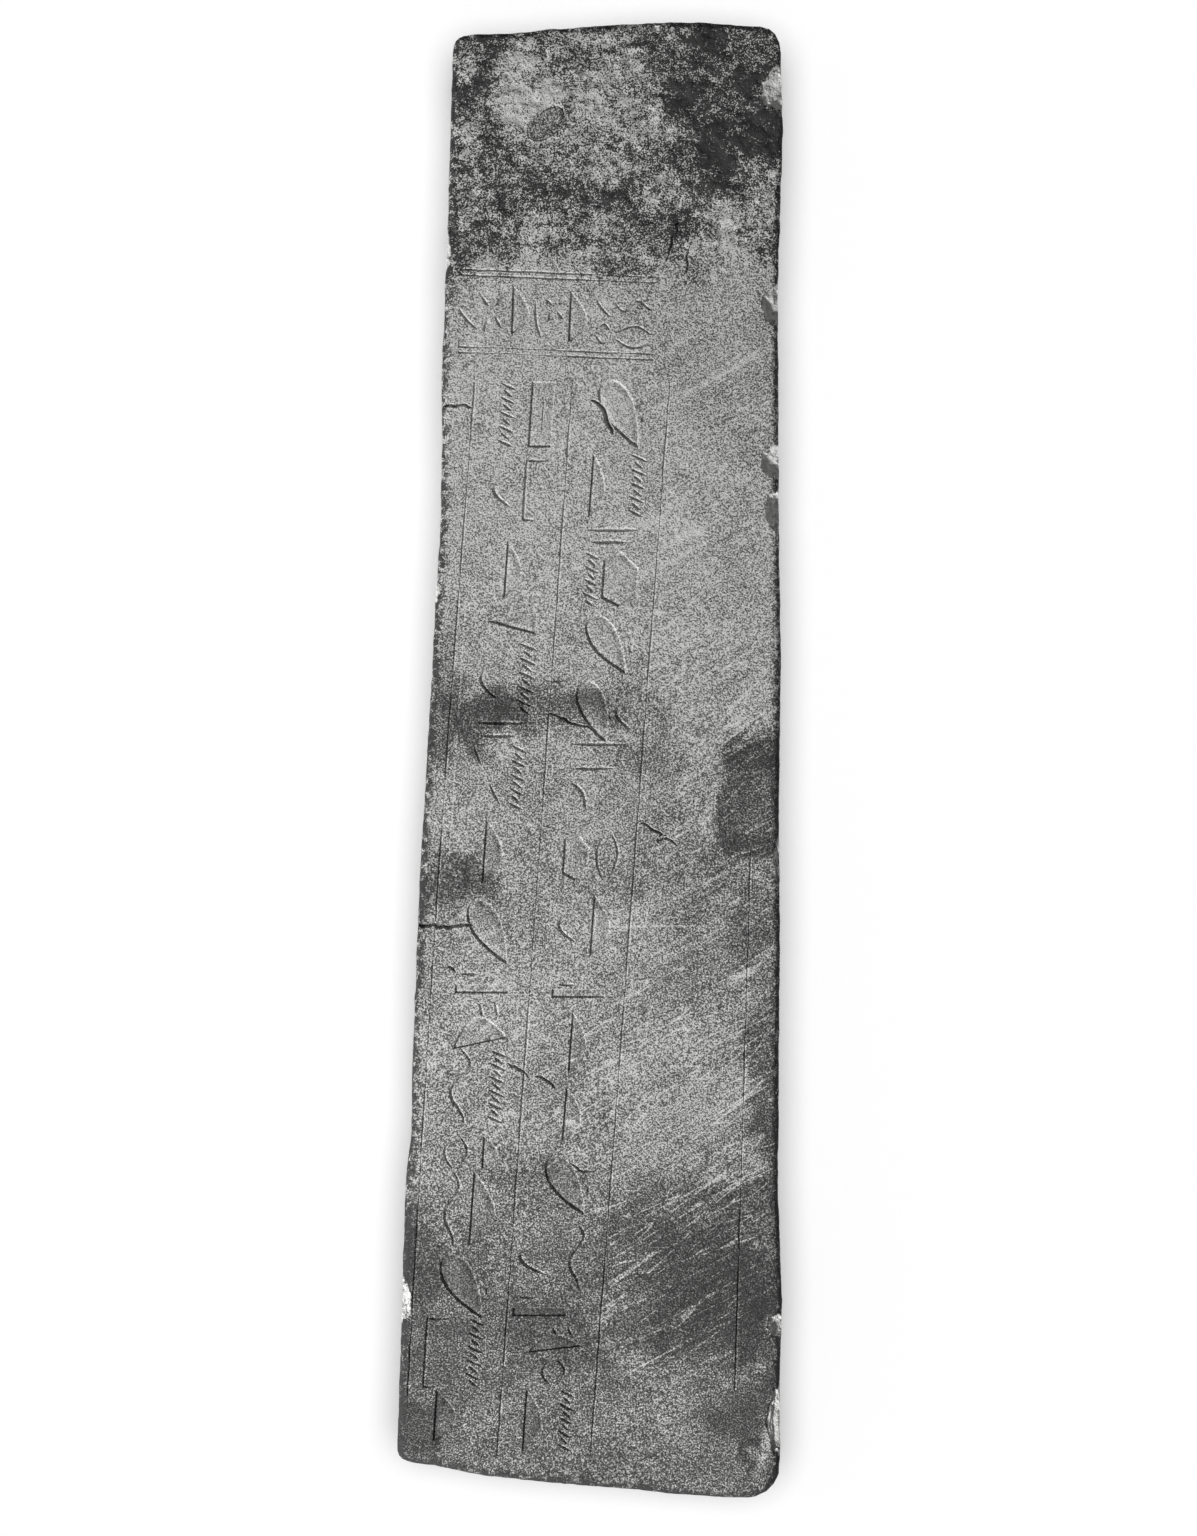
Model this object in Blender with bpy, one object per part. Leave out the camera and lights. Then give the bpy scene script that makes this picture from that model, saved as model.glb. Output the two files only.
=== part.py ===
"""A long tapering slab of dressed stone, lying on its back with its inscribed face up.

Metres, +Z up. +Y runs to the narrow end (the head), -Y to the wide end (the foot), +X to the straight
long edge. The origin is under the middle of the slab, on the surface that it lies on. The face holds a
band between two pairs of ruled lines, then two long rows of shallow cut marks between three ruled lines.
"""

import math

import bmesh
import bpy
from mathutils import Vector

# The slab.
LENGTH = 1.480
HEAD_WIDTH = 0.329
FOOT_WIDTH = 0.386
THICKNESS = 0.110
HEAD_SLANT = 0.013
FOOT_SLANT = 0.038
ARRIS = 0.005
ARRIS_STEPS = 2

# How far each corner is rounded off.
FOOT_LEFT_CORNER = 0.017
FOOT_RIGHT_CORNER = 0.040
HEAD_RIGHT_CORNER = 0.032
HEAD_LEFT_CORNER = 0.017
CORNER_STEPS = 5

# How far each side strays from a straight line: a share of the way along it, and metres outward.
FOOT_WAVES = ((0.085, 0.001), (0.25, 0.0065), (0.48, 0.0065), (0.635, 0.005), (0.71, 0.006), (0.87, 0.004))
RIGHT_WAVES = (
    (0.08, 0.0), (0.135, 0.002), (0.216, -0.002), (0.385, 0.0), (0.466, -0.001),
    (0.574, 0.001), (0.655, -0.001), (0.824, -0.002), (0.926, 0.003),
)
HEAD_WAVES = (
    (0.095, -0.003), (0.155, 0.0), (0.245, 0.003), (0.34, 0.0045), (0.52, 0.004), (0.70, 0.002), (0.80, 0.0),
)
LEFT_WAVES = (
    (0.138, -0.002), (0.243, -0.002), (0.285, -0.005), (0.348, -0.007), (0.385, -0.005), (0.453, -0.004),
    (0.593, 0.0), (0.733, 0.0), (0.768, -0.002), (0.803, 0.002), (0.90, 0.0005),
)

# The ruled lines. The rows start below the band, and their lines follow the sloping left edge.
BAND_START = 0.254
BAND_HEIGHT = 0.0715
BAND_LENGTH = 0.196
BAND_MARGIN = 0.018
BAND_TILT = 0.008
PAIR_GAP = 0.0055
ROWS_START = 0.362
ROWS_END_GAP = 0.006
ROW_HEIGHT_HEAD = 0.0975
ROW_HEIGHT_FOOT = 0.0935
MARGIN_HEAD = 0.037
MARGIN_FOOT = 0.0085
FIRST_LINE_SAG = 0.0035
FIRST_LINE_WORN = 0.060
LOW_LINE_INSET_HEAD = 0.030
LOW_LINE_INSET_FOOT = 0.046
LOW_LINE_START = 0.828
LOW_LINE_LENGTH = 0.543

# The cuts in the face: width at the surface, and depth.
LINE_WIDTH = 0.0032
NICK_WIDTH = 0.0042
STROKE_WIDTH = 0.0056
SUNK_DEPTH = 0.0028
NICK_PITCH = 0.0068
NICK_LEAN = -0.0034
CUT_LIFT = 0.0004
TIP_SHARE = 0.30
BAR_WIDTH = 0.007
DROP_FATNESS = 0.26
CURVE_STEPS = 6
LEAF_STEPS = 7
DROP_STEPS = 14

# Each row from head to foot: length of a group, gap after it, and its marks with the share of the row's
# height from which and to which each reaches. The lengths are stretched together to fill the row.
LEFT_ROW = (
    (0.064, 0.014, (("nicks", 0.27, 0.42), ("slot", 0.59, 0.81))),
    (0.059, 0.022, (("bow_across", 0.27, 0.44), ("bracket", 0.59, 0.79))),
    (0.055, 0.017, (("half_moon", 0.44, 0.60),)),
    (0.020, 0.010, (("wedge", 0.29, 0.79),)),
    (0.070, 0.009, (("bow_across", 0.27, 0.44), ("nicks", 0.65, 0.82))),
    (0.013, 0.010, (("pair", 0.26, 0.77),)),
    (0.064, 0.011, (("spray", 0.20, 0.58), ("nicks", 0.64, 0.79))),
    (0.062, 0.020, (("half_moon", 0.42, 0.60),)),
    (0.060, 0.006, (("drop", 0.26, 0.78),)),
    (0.024, 0.011, (("cross_bar", 0.22, 0.76),)),
    (0.045, 0.002, (("fan", 0.24, 0.78),)),
    (0.072, 0.015, (("wave", 0.20, 0.46), ("nicks", 0.64, 0.80))),
    (0.031, 0.004, (("bow_pair", 0.22, 0.46), ("half_moon", 0.62, 0.78))),
    (0.073, 0.012, (("wave", 0.24, 0.42), ("half_moon", 0.54, 0.78))),
    (0.059, 0.002, (("drop", 0.22, 0.78),)),
    (0.068, 0.004, (("bracket", 0.16, 0.40), ("nicks", 0.60, 0.76))),
    (0.050, 0.016, (("half_moon", 0.30, 0.52),)),
)
RIGHT_ROW = (
    (0.064, 0.008, (("drop", 0.26, 0.76),)),
    (0.062, 0.013, (("half_moon", 0.26, 0.40), ("nicks", 0.66, 0.82))),
    (0.012, 0.011, (("pair", 0.26, 0.78),)),
    (0.053, 0.012, (("nicks", 0.26, 0.40), ("lozenge", 0.46, 0.80))),
    (0.055, 0.010, (("drop", 0.28, 0.80),)),
    (0.059, 0.002, (("drop", 0.28, 0.64), ("bow_across", 0.70, 0.85))),
    (0.024, 0.015, (("pair", 0.26, 0.82),)),
    (0.034, 0.017, (("chevron", 0.28, 0.80),)),
    (0.046, 0.015, (("lozenge", 0.26, 0.50), ("bow_pair", 0.60, 0.82))),
    (0.060, 0.027, (("bow_across", 0.26, 0.44), ("half_moon", 0.60, 0.78))),
    (0.015, 0.016, (("cross_bar", 0.24, 0.78),)),
    (0.059, 0.016, (("half_moon", 0.46, 0.62),)),
    (0.052, 0.018, (("half_moon", 0.45, 0.62),)),
    (0.055, 0.012, (("drop", 0.26, 0.78),)),
    (0.063, 0.004, (("bow_across", 0.10, 0.38), ("wave", 0.60, 0.78))),
    (0.023, 0.013, (("cross_bar", 0.06, 0.62),)),
    (0.024, 0.008, (("fan", 0.26, 0.80),)),
    (0.024, 0.006, (("bow_pair", 0.42, 0.66),)),
    (0.060, 0.006, (("half_moon", 0.26, 0.44), ("nicks", 0.63, 0.78))),
)
# The band, from the left edge inward. Here a mark's two numbers are shares of the band's height.
BAND_ROW = (
    (0.019, 0.003, (("cross_dash", 0.48, 0.75),)),
    (0.024, 0.007, (("spray", 0.24, 0.78),)),
    (0.016, 0.008, (("cross_moon", 0.13, 0.79),)),
    (0.006, 0.004, (("cross_dash", 0.34, 0.83),)),
    (0.020, 0.004, (("spray", 0.26, 0.60),)),
    (0.017, 0.010, (("cross_moon", 0.18, 0.87),)),
    (0.014, 0.006, (("cross_dash", 0.28, 0.50), ("bow_pair", 0.60, 0.87))),
    (0.036, 0.003, (("wave", 0.22, 0.44), ("bow_pair", 0.62, 0.92))),
)

# Losses along the edges: which long edge, share of the length from the foot, then the length along the
# edge, the reach into the face and the depth of each.
CHIPS = (
    ("right", 0.953, 0.050, 0.023, 0.007),
    ("right", 0.807, 0.050, 0.020, 0.010),
    ("right", 0.702, 0.036, 0.022, 0.010),
    ("right", 0.669, 0.046, 0.017, 0.013),
    ("right", 0.435, 0.050, 0.008, 0.006),
    ("right", 0.118, 0.026, 0.014, 0.008),
    ("right", 0.054, 0.076, 0.014, 0.006),
    ("left", 0.845, 0.050, 0.008, 0.005),
    ("left", 0.615, 0.028, 0.013, 0.005),
    ("left", 0.135, 0.050, 0.010, 0.006),
)
DENT_SIZE = (0.044, 0.024, 0.0026)
DENT_PLACE = (0.103, 0.094)
DENT_TURN = math.radians(42)

STONE_COLOUR = (0.235, 0.232, 0.226, 1.0)
STONE_ROUGHNESS = 0.9


def blend(a, b, share):
    """The value or point that lies this share of the way from a to b."""
    return a + (b - a) * share


def slab_corners():
    """The four sharp corners before rounding: foot left, foot right, head right and head left."""
    straight_edge = FOOT_WIDTH / 2
    return (
        Vector((straight_edge - FOOT_WIDTH, -LENGTH / 2 + FOOT_SLANT)),
        Vector((straight_edge, -LENGTH / 2)),
        Vector((straight_edge, LENGTH / 2)),
        Vector((straight_edge - HEAD_WIDTH, LENGTH / 2 - HEAD_SLANT)),
    )


def side_points(start, end, waves):
    """The points where a side strays from the straight line between its corners."""
    along = end - start
    outward = Vector((along.y, -along.x)).normalized()
    return [start + along * share + outward * offset for share, offset in waves]


def rounded_corner(before, corner, after, radius):
    """A corner worn round: a curve that starts and ends its radius away from the sharp point."""
    start = corner + (before - corner).normalized() * radius
    end = corner + (after - corner).normalized() * radius
    shares = [step / CORNER_STEPS for step in range(CORNER_STEPS + 1)]
    return [blend(blend(start, corner, t), blend(corner, end, t), t) for t in shares]


def slab_outline():
    """The slab's outline seen from above, counter-clockwise, with its middle at the origin."""
    corners = slab_corners()
    waves = (FOOT_WAVES, RIGHT_WAVES, HEAD_WAVES, LEFT_WAVES)
    rounding = (FOOT_LEFT_CORNER, FOOT_RIGHT_CORNER, HEAD_RIGHT_CORNER, HEAD_LEFT_CORNER)
    sides = [side_points(corners[i], corners[(i + 1) % 4], waves[i]) for i in range(4)]
    points = []
    for i in range(4):
        before, after = sides[i - 1][-1], sides[i][0]
        points += rounded_corner(before, corners[i], after, rounding[i])
        points += sides[i]
    middle = Vector((
        (min(p.x for p in points) + max(p.x for p in points)) / 2,
        (min(p.y for p in points) + max(p.y for p in points)) / 2,
    ))
    return [p - middle for p in points], middle


OUTLINE, MIDDLE = slab_outline()
FOOT_LEFT, FOOT_RIGHT, HEAD_RIGHT, HEAD_LEFT = [corner - MIDDLE for corner in slab_corners()]


def edge_point(edge, y):
    """The point of a long edge's straight line at this height along the slab."""
    foot, head = (FOOT_LEFT, HEAD_LEFT) if edge == "left" else (FOOT_RIGHT, HEAD_RIGHT)
    return blend(foot, head, (y - foot.y) / (head.y - foot.y))


def inside_edge(edge, y, inset):
    """A point this far in from a long edge."""
    inward = inset if edge == "left" else -inset
    return edge_point(edge, y) + Vector((inward, 0.0))


def row_lines():
    """The head and foot points of the three ruled lines that hold the two long rows."""
    top = HEAD_RIGHT.y - ROWS_START
    bottom = FOOT_LEFT.y + ROWS_END_GAP
    lines = []
    for number in range(3):
        head = inside_edge("left", top, MARGIN_HEAD + number * ROW_HEIGHT_HEAD)
        foot = inside_edge("left", bottom, MARGIN_FOOT + number * ROW_HEIGHT_FOOT)
        lines.append((head, foot))
    return lines


def band_lines():
    """The left and right points of the two inner ruled lines that hold the band."""
    lines = []
    for number in range(2):
        y = HEAD_RIGHT.y - BAND_START - number * BAND_HEIGHT
        start = inside_edge("left", y, BAND_MARGIN)
        lines.append((start, start + Vector((BAND_LENGTH, -BAND_TILT))))
    return lines


def low_line():
    """The short ruled line beside the straight edge."""
    top = HEAD_RIGHT.y - LOW_LINE_START
    head = inside_edge("right", top, LOW_LINE_INSET_HEAD)
    foot = inside_edge("right", top - LOW_LINE_LENGTH, LOW_LINE_INSET_FOOT)
    return head, foot


def bowed(start, end, bulge):
    """Points along a bow from start to end, its middle pushed sideways by a share of its length."""
    along = end - start
    sideways = Vector((-along.y, along.x)) * bulge
    shares = [step / CURVE_STEPS for step in range(CURVE_STEPS + 1)]
    return [start + along * t + sideways * math.sin(math.pi * t) for t in shares]


def straight(start, end):
    """The three points of a straight cut, widest at its middle."""
    return [start, (start + end) / 2, end]


def leaf(start, end, bulge, lean=0.0):
    """A sunk outline with one straight side, from start to end, and one side that swells out."""
    along = end - start
    sideways = Vector((-along.y, along.x)) * bulge
    outline = [start]
    for step in range(1, LEAF_STEPS + 1):
        t = step / (LEAF_STEPS + 1)
        outline.append(start + along * (t + lean * math.sin(math.pi * t)) + sideways * math.sin(math.pi * t))
    return outline + [end]


class Marks:
    """The cuts of one group, in metres: x runs along the row and y across it."""

    def __init__(self, width):
        self.width = width
        self.strokes = []
        self.sunk = []

    def cut(self, points, width=None):
        self.strokes.append((points, width or self.width))

    def nicks(self, a, b):
        """A tally of short slanting nicks, long and short by turns."""
        count = max(3, round((b.x - a.x) / NICK_PITCH))
        for number in range(count):
            x = blend(a.x, b.x, (number + 0.5) / count)
            short = 0.22 if number % 2 else 0.0
            high, low = blend(a.y, b.y, short), blend(b.y, a.y, short)
            start, end = Vector((x + NICK_LEAN, high)), Vector((x - NICK_LEAN, low))
            self.cut(straight(start, end), NICK_WIDTH)

    def bow_across(self, a, b):
        """A bow that is open towards the next line."""
        start, end = Vector((blend(a.x, b.x, 0.22), b.y)), Vector((blend(a.x, b.x, 0.78), b.y))
        self.cut(bowed(start, end, (a.y - b.y) / (end.x - start.x)))

    def bow_pair(self, a, b):
        """Two bows that face each other and stay apart."""
        low, high = blend(a.y, b.y, 0.36), blend(a.y, b.y, 0.64)
        bulge = (b.y - a.y) * 0.36 / (b.x - a.x)
        self.cut(bowed(Vector((a.x, low)), Vector((b.x, low)), -bulge), NICK_WIDTH)
        self.cut(bowed(Vector((b.x, high)), Vector((a.x, high)), -bulge), NICK_WIDTH)

    def bracket(self, a, b):
        """A long cut that turns a corner at both ends, with unequal arms."""
        corners = ((a.x, b.y), (a.x, a.y), (b.x, a.y), (b.x, blend(a.y, b.y, 0.6)))
        self.cut([Vector(corner) for corner in corners], NICK_WIDTH)

    def half_moon(self, a, b):
        """A long sunk leaf with one straight side."""
        self.sunk.append(leaf(a, Vector((b.x, a.y)), (b.y - a.y) / (b.x - a.x), 0.06))

    def cross_moon(self, a, b):
        """The same leaf, set across the row."""
        self.sunk.append(leaf(a, Vector((a.x, b.y)), -(b.x - a.x) / (b.y - a.y), 0.06))

    def wave(self, a, b):
        """A cut that swings from side to side."""
        points = []
        for step in range(2 * CURVE_STEPS + 1):
            t = step / (2 * CURVE_STEPS)
            swing = 0.5 + 0.42 * math.sin(2.5 * math.pi * t) * (1 - 0.4 * t)
            points.append(Vector((blend(a.x, b.x, t), blend(a.y, b.y, swing))))
        self.cut(points)

    def pair(self, a, b):
        """Two cuts across the row, one shorter than the other."""
        self.cut(straight(a, Vector((a.x, b.y))))
        self.cut(straight(Vector((b.x, blend(a.y, b.y, 0.08))), Vector((b.x, blend(a.y, b.y, 0.78)))))

    def cross_dash(self, a, b):
        """One cut across the row, aslant."""
        self.cut(bowed(a, b, 0.06), NICK_WIDTH)

    def spray(self, a, b):
        """Four cuts that open out from one place and stay apart."""
        root = Vector((blend(a.x, b.x, 0.45), blend(a.y, b.y, 0.45)))
        for tip_x, tip_y in ((0.0, 0.1), (1.0, 0.0), (0.9, 0.9), (0.15, 1.0)):
            tip = Vector((blend(a.x, b.x, tip_x), blend(a.y, b.y, tip_y)))
            self.cut(straight(blend(root, tip, 0.30), tip), NICK_WIDTH)

    def chevron(self, a, b):
        """Two cuts that lean towards each other."""
        foot = Vector((b.x, blend(a.y, b.y, 0.42)))
        other = Vector((a.x, b.y))
        self.cut(bowed(a, blend(foot, a, 0.22), 0.16))
        self.cut(straight(blend(foot, other, 0.22), other))

    def slot(self, a, b):
        """A long narrow sunk bar."""
        self.sunk.append([a, Vector((b.x, a.y)), b, Vector((a.x, b.y))])

    def wedge(self, a, b):
        """A sunk wedge that narrows to a point."""
        self.sunk.append([Vector((blend(a.x, b.x, 0.4), a.y)), Vector((b.x, b.y)), Vector((a.x, b.y))])

    def cross_bar(self, a, b):
        """A narrow sunk bar across the row, and a short cut beside it."""
        low_x = b.x - BAR_WIDTH
        corners = ((low_x, a.y), (b.x, a.y), (b.x, b.y), (low_x, b.y))
        self.sunk.append([Vector(corner) for corner in corners])
        start = Vector((blend(a.x, low_x, 0.3), blend(a.y, b.y, 0.1)))
        self.cut(straight(start, Vector((start.x, blend(a.y, b.y, 0.4)))), NICK_WIDTH)

    def fan(self, a, b):
        """A sunk leaf across the row, with two short cuts above its back."""
        base = blend(a.x, b.x, 0.45)
        start, end = Vector((b.x, a.y)), Vector((blend(a.x, b.x, 0.75), b.y))
        self.sunk.append(leaf(start, end, (b.x - base) / (b.y - a.y)))
        for share in (0.45, 0.75):
            root = Vector((blend(a.x, b.x, 0.28), blend(a.y, b.y, share + 0.06)))
            self.cut(straight(root, Vector((a.x, blend(a.y, b.y, share)))), NICK_WIDTH)

    def lozenge(self, a, b):
        """A sunk lozenge with blunt ends."""
        corners = ((0.15, 0.0), (0.85, 0.0), (1.0, 0.5), (0.75, 1.0), (0.3, 1.0), (0.0, 0.45))
        self.sunk.append([Vector((blend(a.x, b.x, u), blend(a.y, b.y, v))) for u, v in corners])

    def drop(self, a, b):
        """A sunk drop that lies aslant, with two short cuts beside it."""
        head, tail = Vector((a.x, blend(a.y, b.y, 0.16))), Vector((b.x, blend(a.y, b.y, 0.90)))
        axis = tail - head
        side = Vector((-axis.y, axis.x)) * DROP_FATNESS
        outline = []
        for step in range(DROP_STEPS):
            turn = 2 * math.pi * step / DROP_STEPS
            along = (1 - math.cos(turn)) / 2
            outline.append(head + axis * along + side * math.sin(turn) * (1 - along) ** 0.5)
        self.sunk.append(outline)
        for root_x, tip_x in ((0.40, 0.26), (0.62, 0.50)):
            root = Vector((blend(a.x, b.x, root_x), blend(a.y, b.y, root_x + 0.34)))
            tip = Vector((blend(a.x, b.x, tip_x), b.y))
            self.cut(straight(root, tip), NICK_WIDTH)


def lay_out(row, first_line, second_line, width):
    """The cuts of a row, drawn between its two ruled lines: strokes and sunk outlines on the face."""
    room = sum(length + gap for length, gap, _ in row)
    stretch = (first_line[1] - first_line[0]).length / room
    height = (second_line[0] - first_line[0]).length
    strokes, sunk = [], []
    cursor = 0.0

    def on_face(point):
        share, across = point.x / room / stretch, point.y / height
        return blend(blend(*first_line, share), blend(*second_line, share), across)

    for length, gap, marks in row:
        group = Marks(width)
        for name, low, high in marks:
            a = Vector((cursor * stretch, low * height))
            b = Vector(((cursor + length) * stretch, high * height))
            getattr(group, name)(a, b)
        strokes += [([on_face(p) for p in points], width) for points, width in group.strokes]
        sunk += [[on_face(p) for p in outline] for outline in group.sunk]
        cursor += length + gap
    return strokes, sunk


def ruled(line, shift=0.0):
    """A ruled line as one long thin cut, moved up the face by the shift."""
    return [point + Vector((0.0, shift)) for point in line]


def all_cuts():
    """Every stroke with its width, and every sunk outline, on the face."""
    first, second, third = row_lines()
    band_top, band_bottom = band_lines()
    worn_end = blend(first[1], first[0], FIRST_LINE_WORN / (first[1] - first[0]).length)
    sag = -FIRST_LINE_SAG / (worn_end - first[0]).length
    strokes = [(bowed(first[0], worn_end, sag), LINE_WIDTH)]
    strokes += [(ruled(line), LINE_WIDTH) for line in (second, third, low_line())]
    for line, shift in ((band_top, PAIR_GAP), (band_top, 0.0), (band_bottom, 0.0), (band_bottom, -PAIR_GAP)):
        strokes.append((ruled(line, shift), LINE_WIDTH))
    sunk = []
    rows = (
        (LEFT_ROW, first, second, STROKE_WIDTH),
        (RIGHT_ROW, second, third, STROKE_WIDTH),
        (BAND_ROW, band_top, band_bottom, NICK_WIDTH),
    )
    for row in rows:
        row_strokes, row_sunk = lay_out(*row)
        strokes += row_strokes
        sunk += row_sunk
    print(len(strokes), "strokes and", len(sunk), "sunk marks")
    return strokes, sunk


def new_collection(name):
    collection = bpy.data.collections.new(name)
    bpy.context.scene.collection.children.link(collection)
    return collection


def as_mesh(source, collection):
    """Makes a mesh object from a curve, with its caps welded, and removes the curve."""
    bpy.context.view_layer.update()
    graph = bpy.context.evaluated_depsgraph_get()
    mesh = bpy.data.meshes.new_from_object(source.evaluated_get(graph))
    shape = bmesh.new()
    shape.from_mesh(mesh)
    bmesh.ops.remove_doubles(shape, verts=shape.verts, dist=0.00001)
    bmesh.ops.recalc_face_normals(shape, faces=shape.faces)
    shape.to_mesh(mesh)
    shape.free()
    made = bpy.data.objects.new(source.name + "_mesh", mesh)
    made.matrix_world = source.matrix_world
    collection.objects.link(made)
    bpy.data.objects.remove(source)
    return made


def as_cutter(cutter):
    cutter.hide_render = True
    cutter.display_type = "WIRE"
    return cutter


def stroke_cutter(strokes, collection):
    """One square bar for each stroke, standing on its corner, so that it cuts a V that fades at its tips."""
    curve = bpy.data.curves.new("strokes", "CURVE")
    curve.dimensions = "3D"
    curve.twist_mode = "Z_UP"
    curve.bevel_depth = 1.0
    curve.bevel_resolution = 0
    curve.use_fill_caps = True
    for points, width in strokes:
        spline = curve.splines.new("POLY")
        spline.points.add(len(points) - 1)
        for number, (knot, point) in enumerate(zip(spline.points, points)):
            share = number / (len(points) - 1)
            swell = TIP_SHARE + (1 - TIP_SHARE) * max(0.0, math.sin(math.pi * share)) ** 0.5
            if width == LINE_WIDTH:
                swell = 1.0
            knot.co = (point.x, point.y, THICKNESS + CUT_LIFT, 1.0)
            knot.radius = swell * width / 2 + CUT_LIFT
    source = bpy.data.objects.new("strokes", curve)
    collection.objects.link(source)
    return as_cutter(as_mesh(source, collection))


def sunk_cutter(outlines, collection):
    """One flat-bottomed plug for each sunk outline."""
    shape = bmesh.new()
    for outline in outlines:
        floor = THICKNESS - SUNK_DEPTH
        corners = [shape.verts.new((point.x, point.y, floor)) for point in outline]
        face = shape.faces.new(corners)
        raised = bmesh.ops.extrude_face_region(shape, geom=[face])
        moved = [item for item in raised["geom"] if isinstance(item, bmesh.types.BMVert)]
        bmesh.ops.translate(shape, verts=moved, vec=(0, 0, SUNK_DEPTH + CUT_LIFT))
    bmesh.ops.recalc_face_normals(shape, faces=shape.faces)
    mesh = bpy.data.meshes.new("sunk_areas")
    shape.to_mesh(mesh)
    shape.free()
    cutter = bpy.data.objects.new("sunk_areas", mesh)
    collection.objects.link(cutter)
    return as_cutter(cutter)


def lump(name, centre, half_size, turn, collection):
    """A rough ball, drawn out along one direction, that breaks a piece out of what it overlaps."""
    shape = bmesh.new()
    bmesh.ops.create_icosphere(shape, subdivisions=2, radius=1.0)
    bmesh.ops.scale(shape, verts=shape.verts, vec=half_size)
    mesh = bpy.data.meshes.new(name)
    shape.to_mesh(mesh)
    shape.free()
    made = bpy.data.objects.new(name, mesh)
    made.location = centre
    made.rotation_euler = (0, 0, turn)
    collection.objects.link(made)
    return as_cutter(made)


def chip_cutters(collection):
    """The losses along the two long edges, and the oval dent in the blank head of the face."""
    cutters = []
    for number, (edge, share, length, reach, depth) in enumerate(CHIPS):
        y = blend(FOOT_RIGHT.y, HEAD_RIGHT.y, share)
        place = edge_point(edge, y)
        half_size = (reach, length / 2, depth)
        centre = (place.x, place.y, THICKNESS)
        cutters.append(lump(f"chip_{number}", centre, half_size, 0.0, collection))
    across, down = DENT_PLACE
    place = inside_edge("left", HEAD_RIGHT.y - across, down)
    half_size = (DENT_SIZE[0] / 2, DENT_SIZE[1] / 2, DENT_SIZE[2])
    centre = (place.x, place.y, THICKNESS)
    cutters.append(lump("dent", centre, half_size, DENT_TURN, collection))
    return cutters


def stone_material():
    material = bpy.data.materials.new("grey_stone")
    material.use_nodes = True
    shader = material.node_tree.nodes["Principled BSDF"]
    shader.inputs["Base Color"].default_value = STONE_COLOUR
    shader.inputs["Roughness"].default_value = STONE_ROUGHNESS
    return material


def slab_block(collection):
    """The slab before it is cut: its outline raised to its thickness, with worn upper edges."""
    shape = bmesh.new()
    base = shape.faces.new([shape.verts.new((point.x, point.y, 0.0)) for point in OUTLINE])
    raised = bmesh.ops.extrude_face_region(shape, geom=[base])
    moved = [item for item in raised["geom"] if isinstance(item, bmesh.types.BMVert)]
    bmesh.ops.translate(shape, verts=moved, vec=(0, 0, THICKNESS))
    bmesh.ops.recalc_face_normals(shape, faces=shape.faces)
    level_edges = [edge for edge in shape.edges if abs(edge.verts[0].co.z - edge.verts[1].co.z) < ARRIS]
    bmesh.ops.bevel(
        shape, geom=level_edges, offset=ARRIS, offset_type="OFFSET", segments=ARRIS_STEPS,
        profile=0.5, affect="EDGES", material=-1,
    )
    mesh = bpy.data.meshes.new("inscribed_slab")
    shape.to_mesh(mesh)
    shape.free()
    mesh.set_sharp_from_angle(angle=math.radians(30))
    for polygon in mesh.polygons:
        polygon.use_smooth = abs(polygon.normal.z) < 0.99
    mesh.materials.append(stone_material())
    slab = bpy.data.objects.new("inscribed_slab", mesh)
    collection.objects.link(slab)
    return slab


def cut_out(target, cutter):
    modifier = target.modifiers.new(cutter.name, "BOOLEAN")
    modifier.operation = "DIFFERENCE"
    modifier.solver = "EXACT"
    modifier.object = cutter


def build():
    for old in list(bpy.data.objects):
        bpy.data.objects.remove(old)
    parts = new_collection("inscribed_panel")
    cutters = new_collection("cutters")
    slab = slab_block(parts)
    strokes, sunk = all_cuts()
    for cutter in chip_cutters(cutters):
        cut_out(slab, cutter)
    cut_out(slab, sunk_cutter(sunk, cutters))
    cut_out(slab, stroke_cutter(strokes, cutters))


build()
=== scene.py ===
# %% [markdown]
# # A worn inscribed panel of grey stone
# The real object is one long slab, narrower at one end, dressed flat on the face and cut with a short
# framed band and two long rows of small sunk marks between ruled lines. Its edges are bruised, its face is
# stained, and old damage blurs the marks towards the foot. The packed solid gives the outline and the
# main cuts. Here a finer skin takes its place: the same outline, the same marks, and the roughness that a
# solid model leaves out. We start by loading the solid and keeping its box, which the skin must not leave.

# %% Load the packed solid
import math

import bmesh
import bpy
import numpy as np
from mathutils import Matrix, Vector, noise


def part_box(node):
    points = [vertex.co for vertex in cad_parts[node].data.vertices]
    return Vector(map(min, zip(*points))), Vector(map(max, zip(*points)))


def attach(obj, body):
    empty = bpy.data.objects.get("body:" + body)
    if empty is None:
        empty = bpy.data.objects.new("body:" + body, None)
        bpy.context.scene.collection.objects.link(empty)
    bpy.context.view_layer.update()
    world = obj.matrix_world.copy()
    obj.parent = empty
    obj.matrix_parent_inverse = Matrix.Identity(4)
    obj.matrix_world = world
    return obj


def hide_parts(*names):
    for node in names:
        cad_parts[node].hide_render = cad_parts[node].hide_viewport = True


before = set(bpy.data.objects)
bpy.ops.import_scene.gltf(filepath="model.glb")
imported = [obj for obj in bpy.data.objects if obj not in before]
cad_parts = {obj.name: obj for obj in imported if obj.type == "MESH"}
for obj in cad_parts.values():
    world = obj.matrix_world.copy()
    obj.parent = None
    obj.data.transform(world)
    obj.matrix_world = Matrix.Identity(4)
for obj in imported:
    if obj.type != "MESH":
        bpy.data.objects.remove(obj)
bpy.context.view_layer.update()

slab_low, slab_high = (Vector(corner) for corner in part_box("inscribed_slab"))
TOP = slab_high.z
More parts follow.
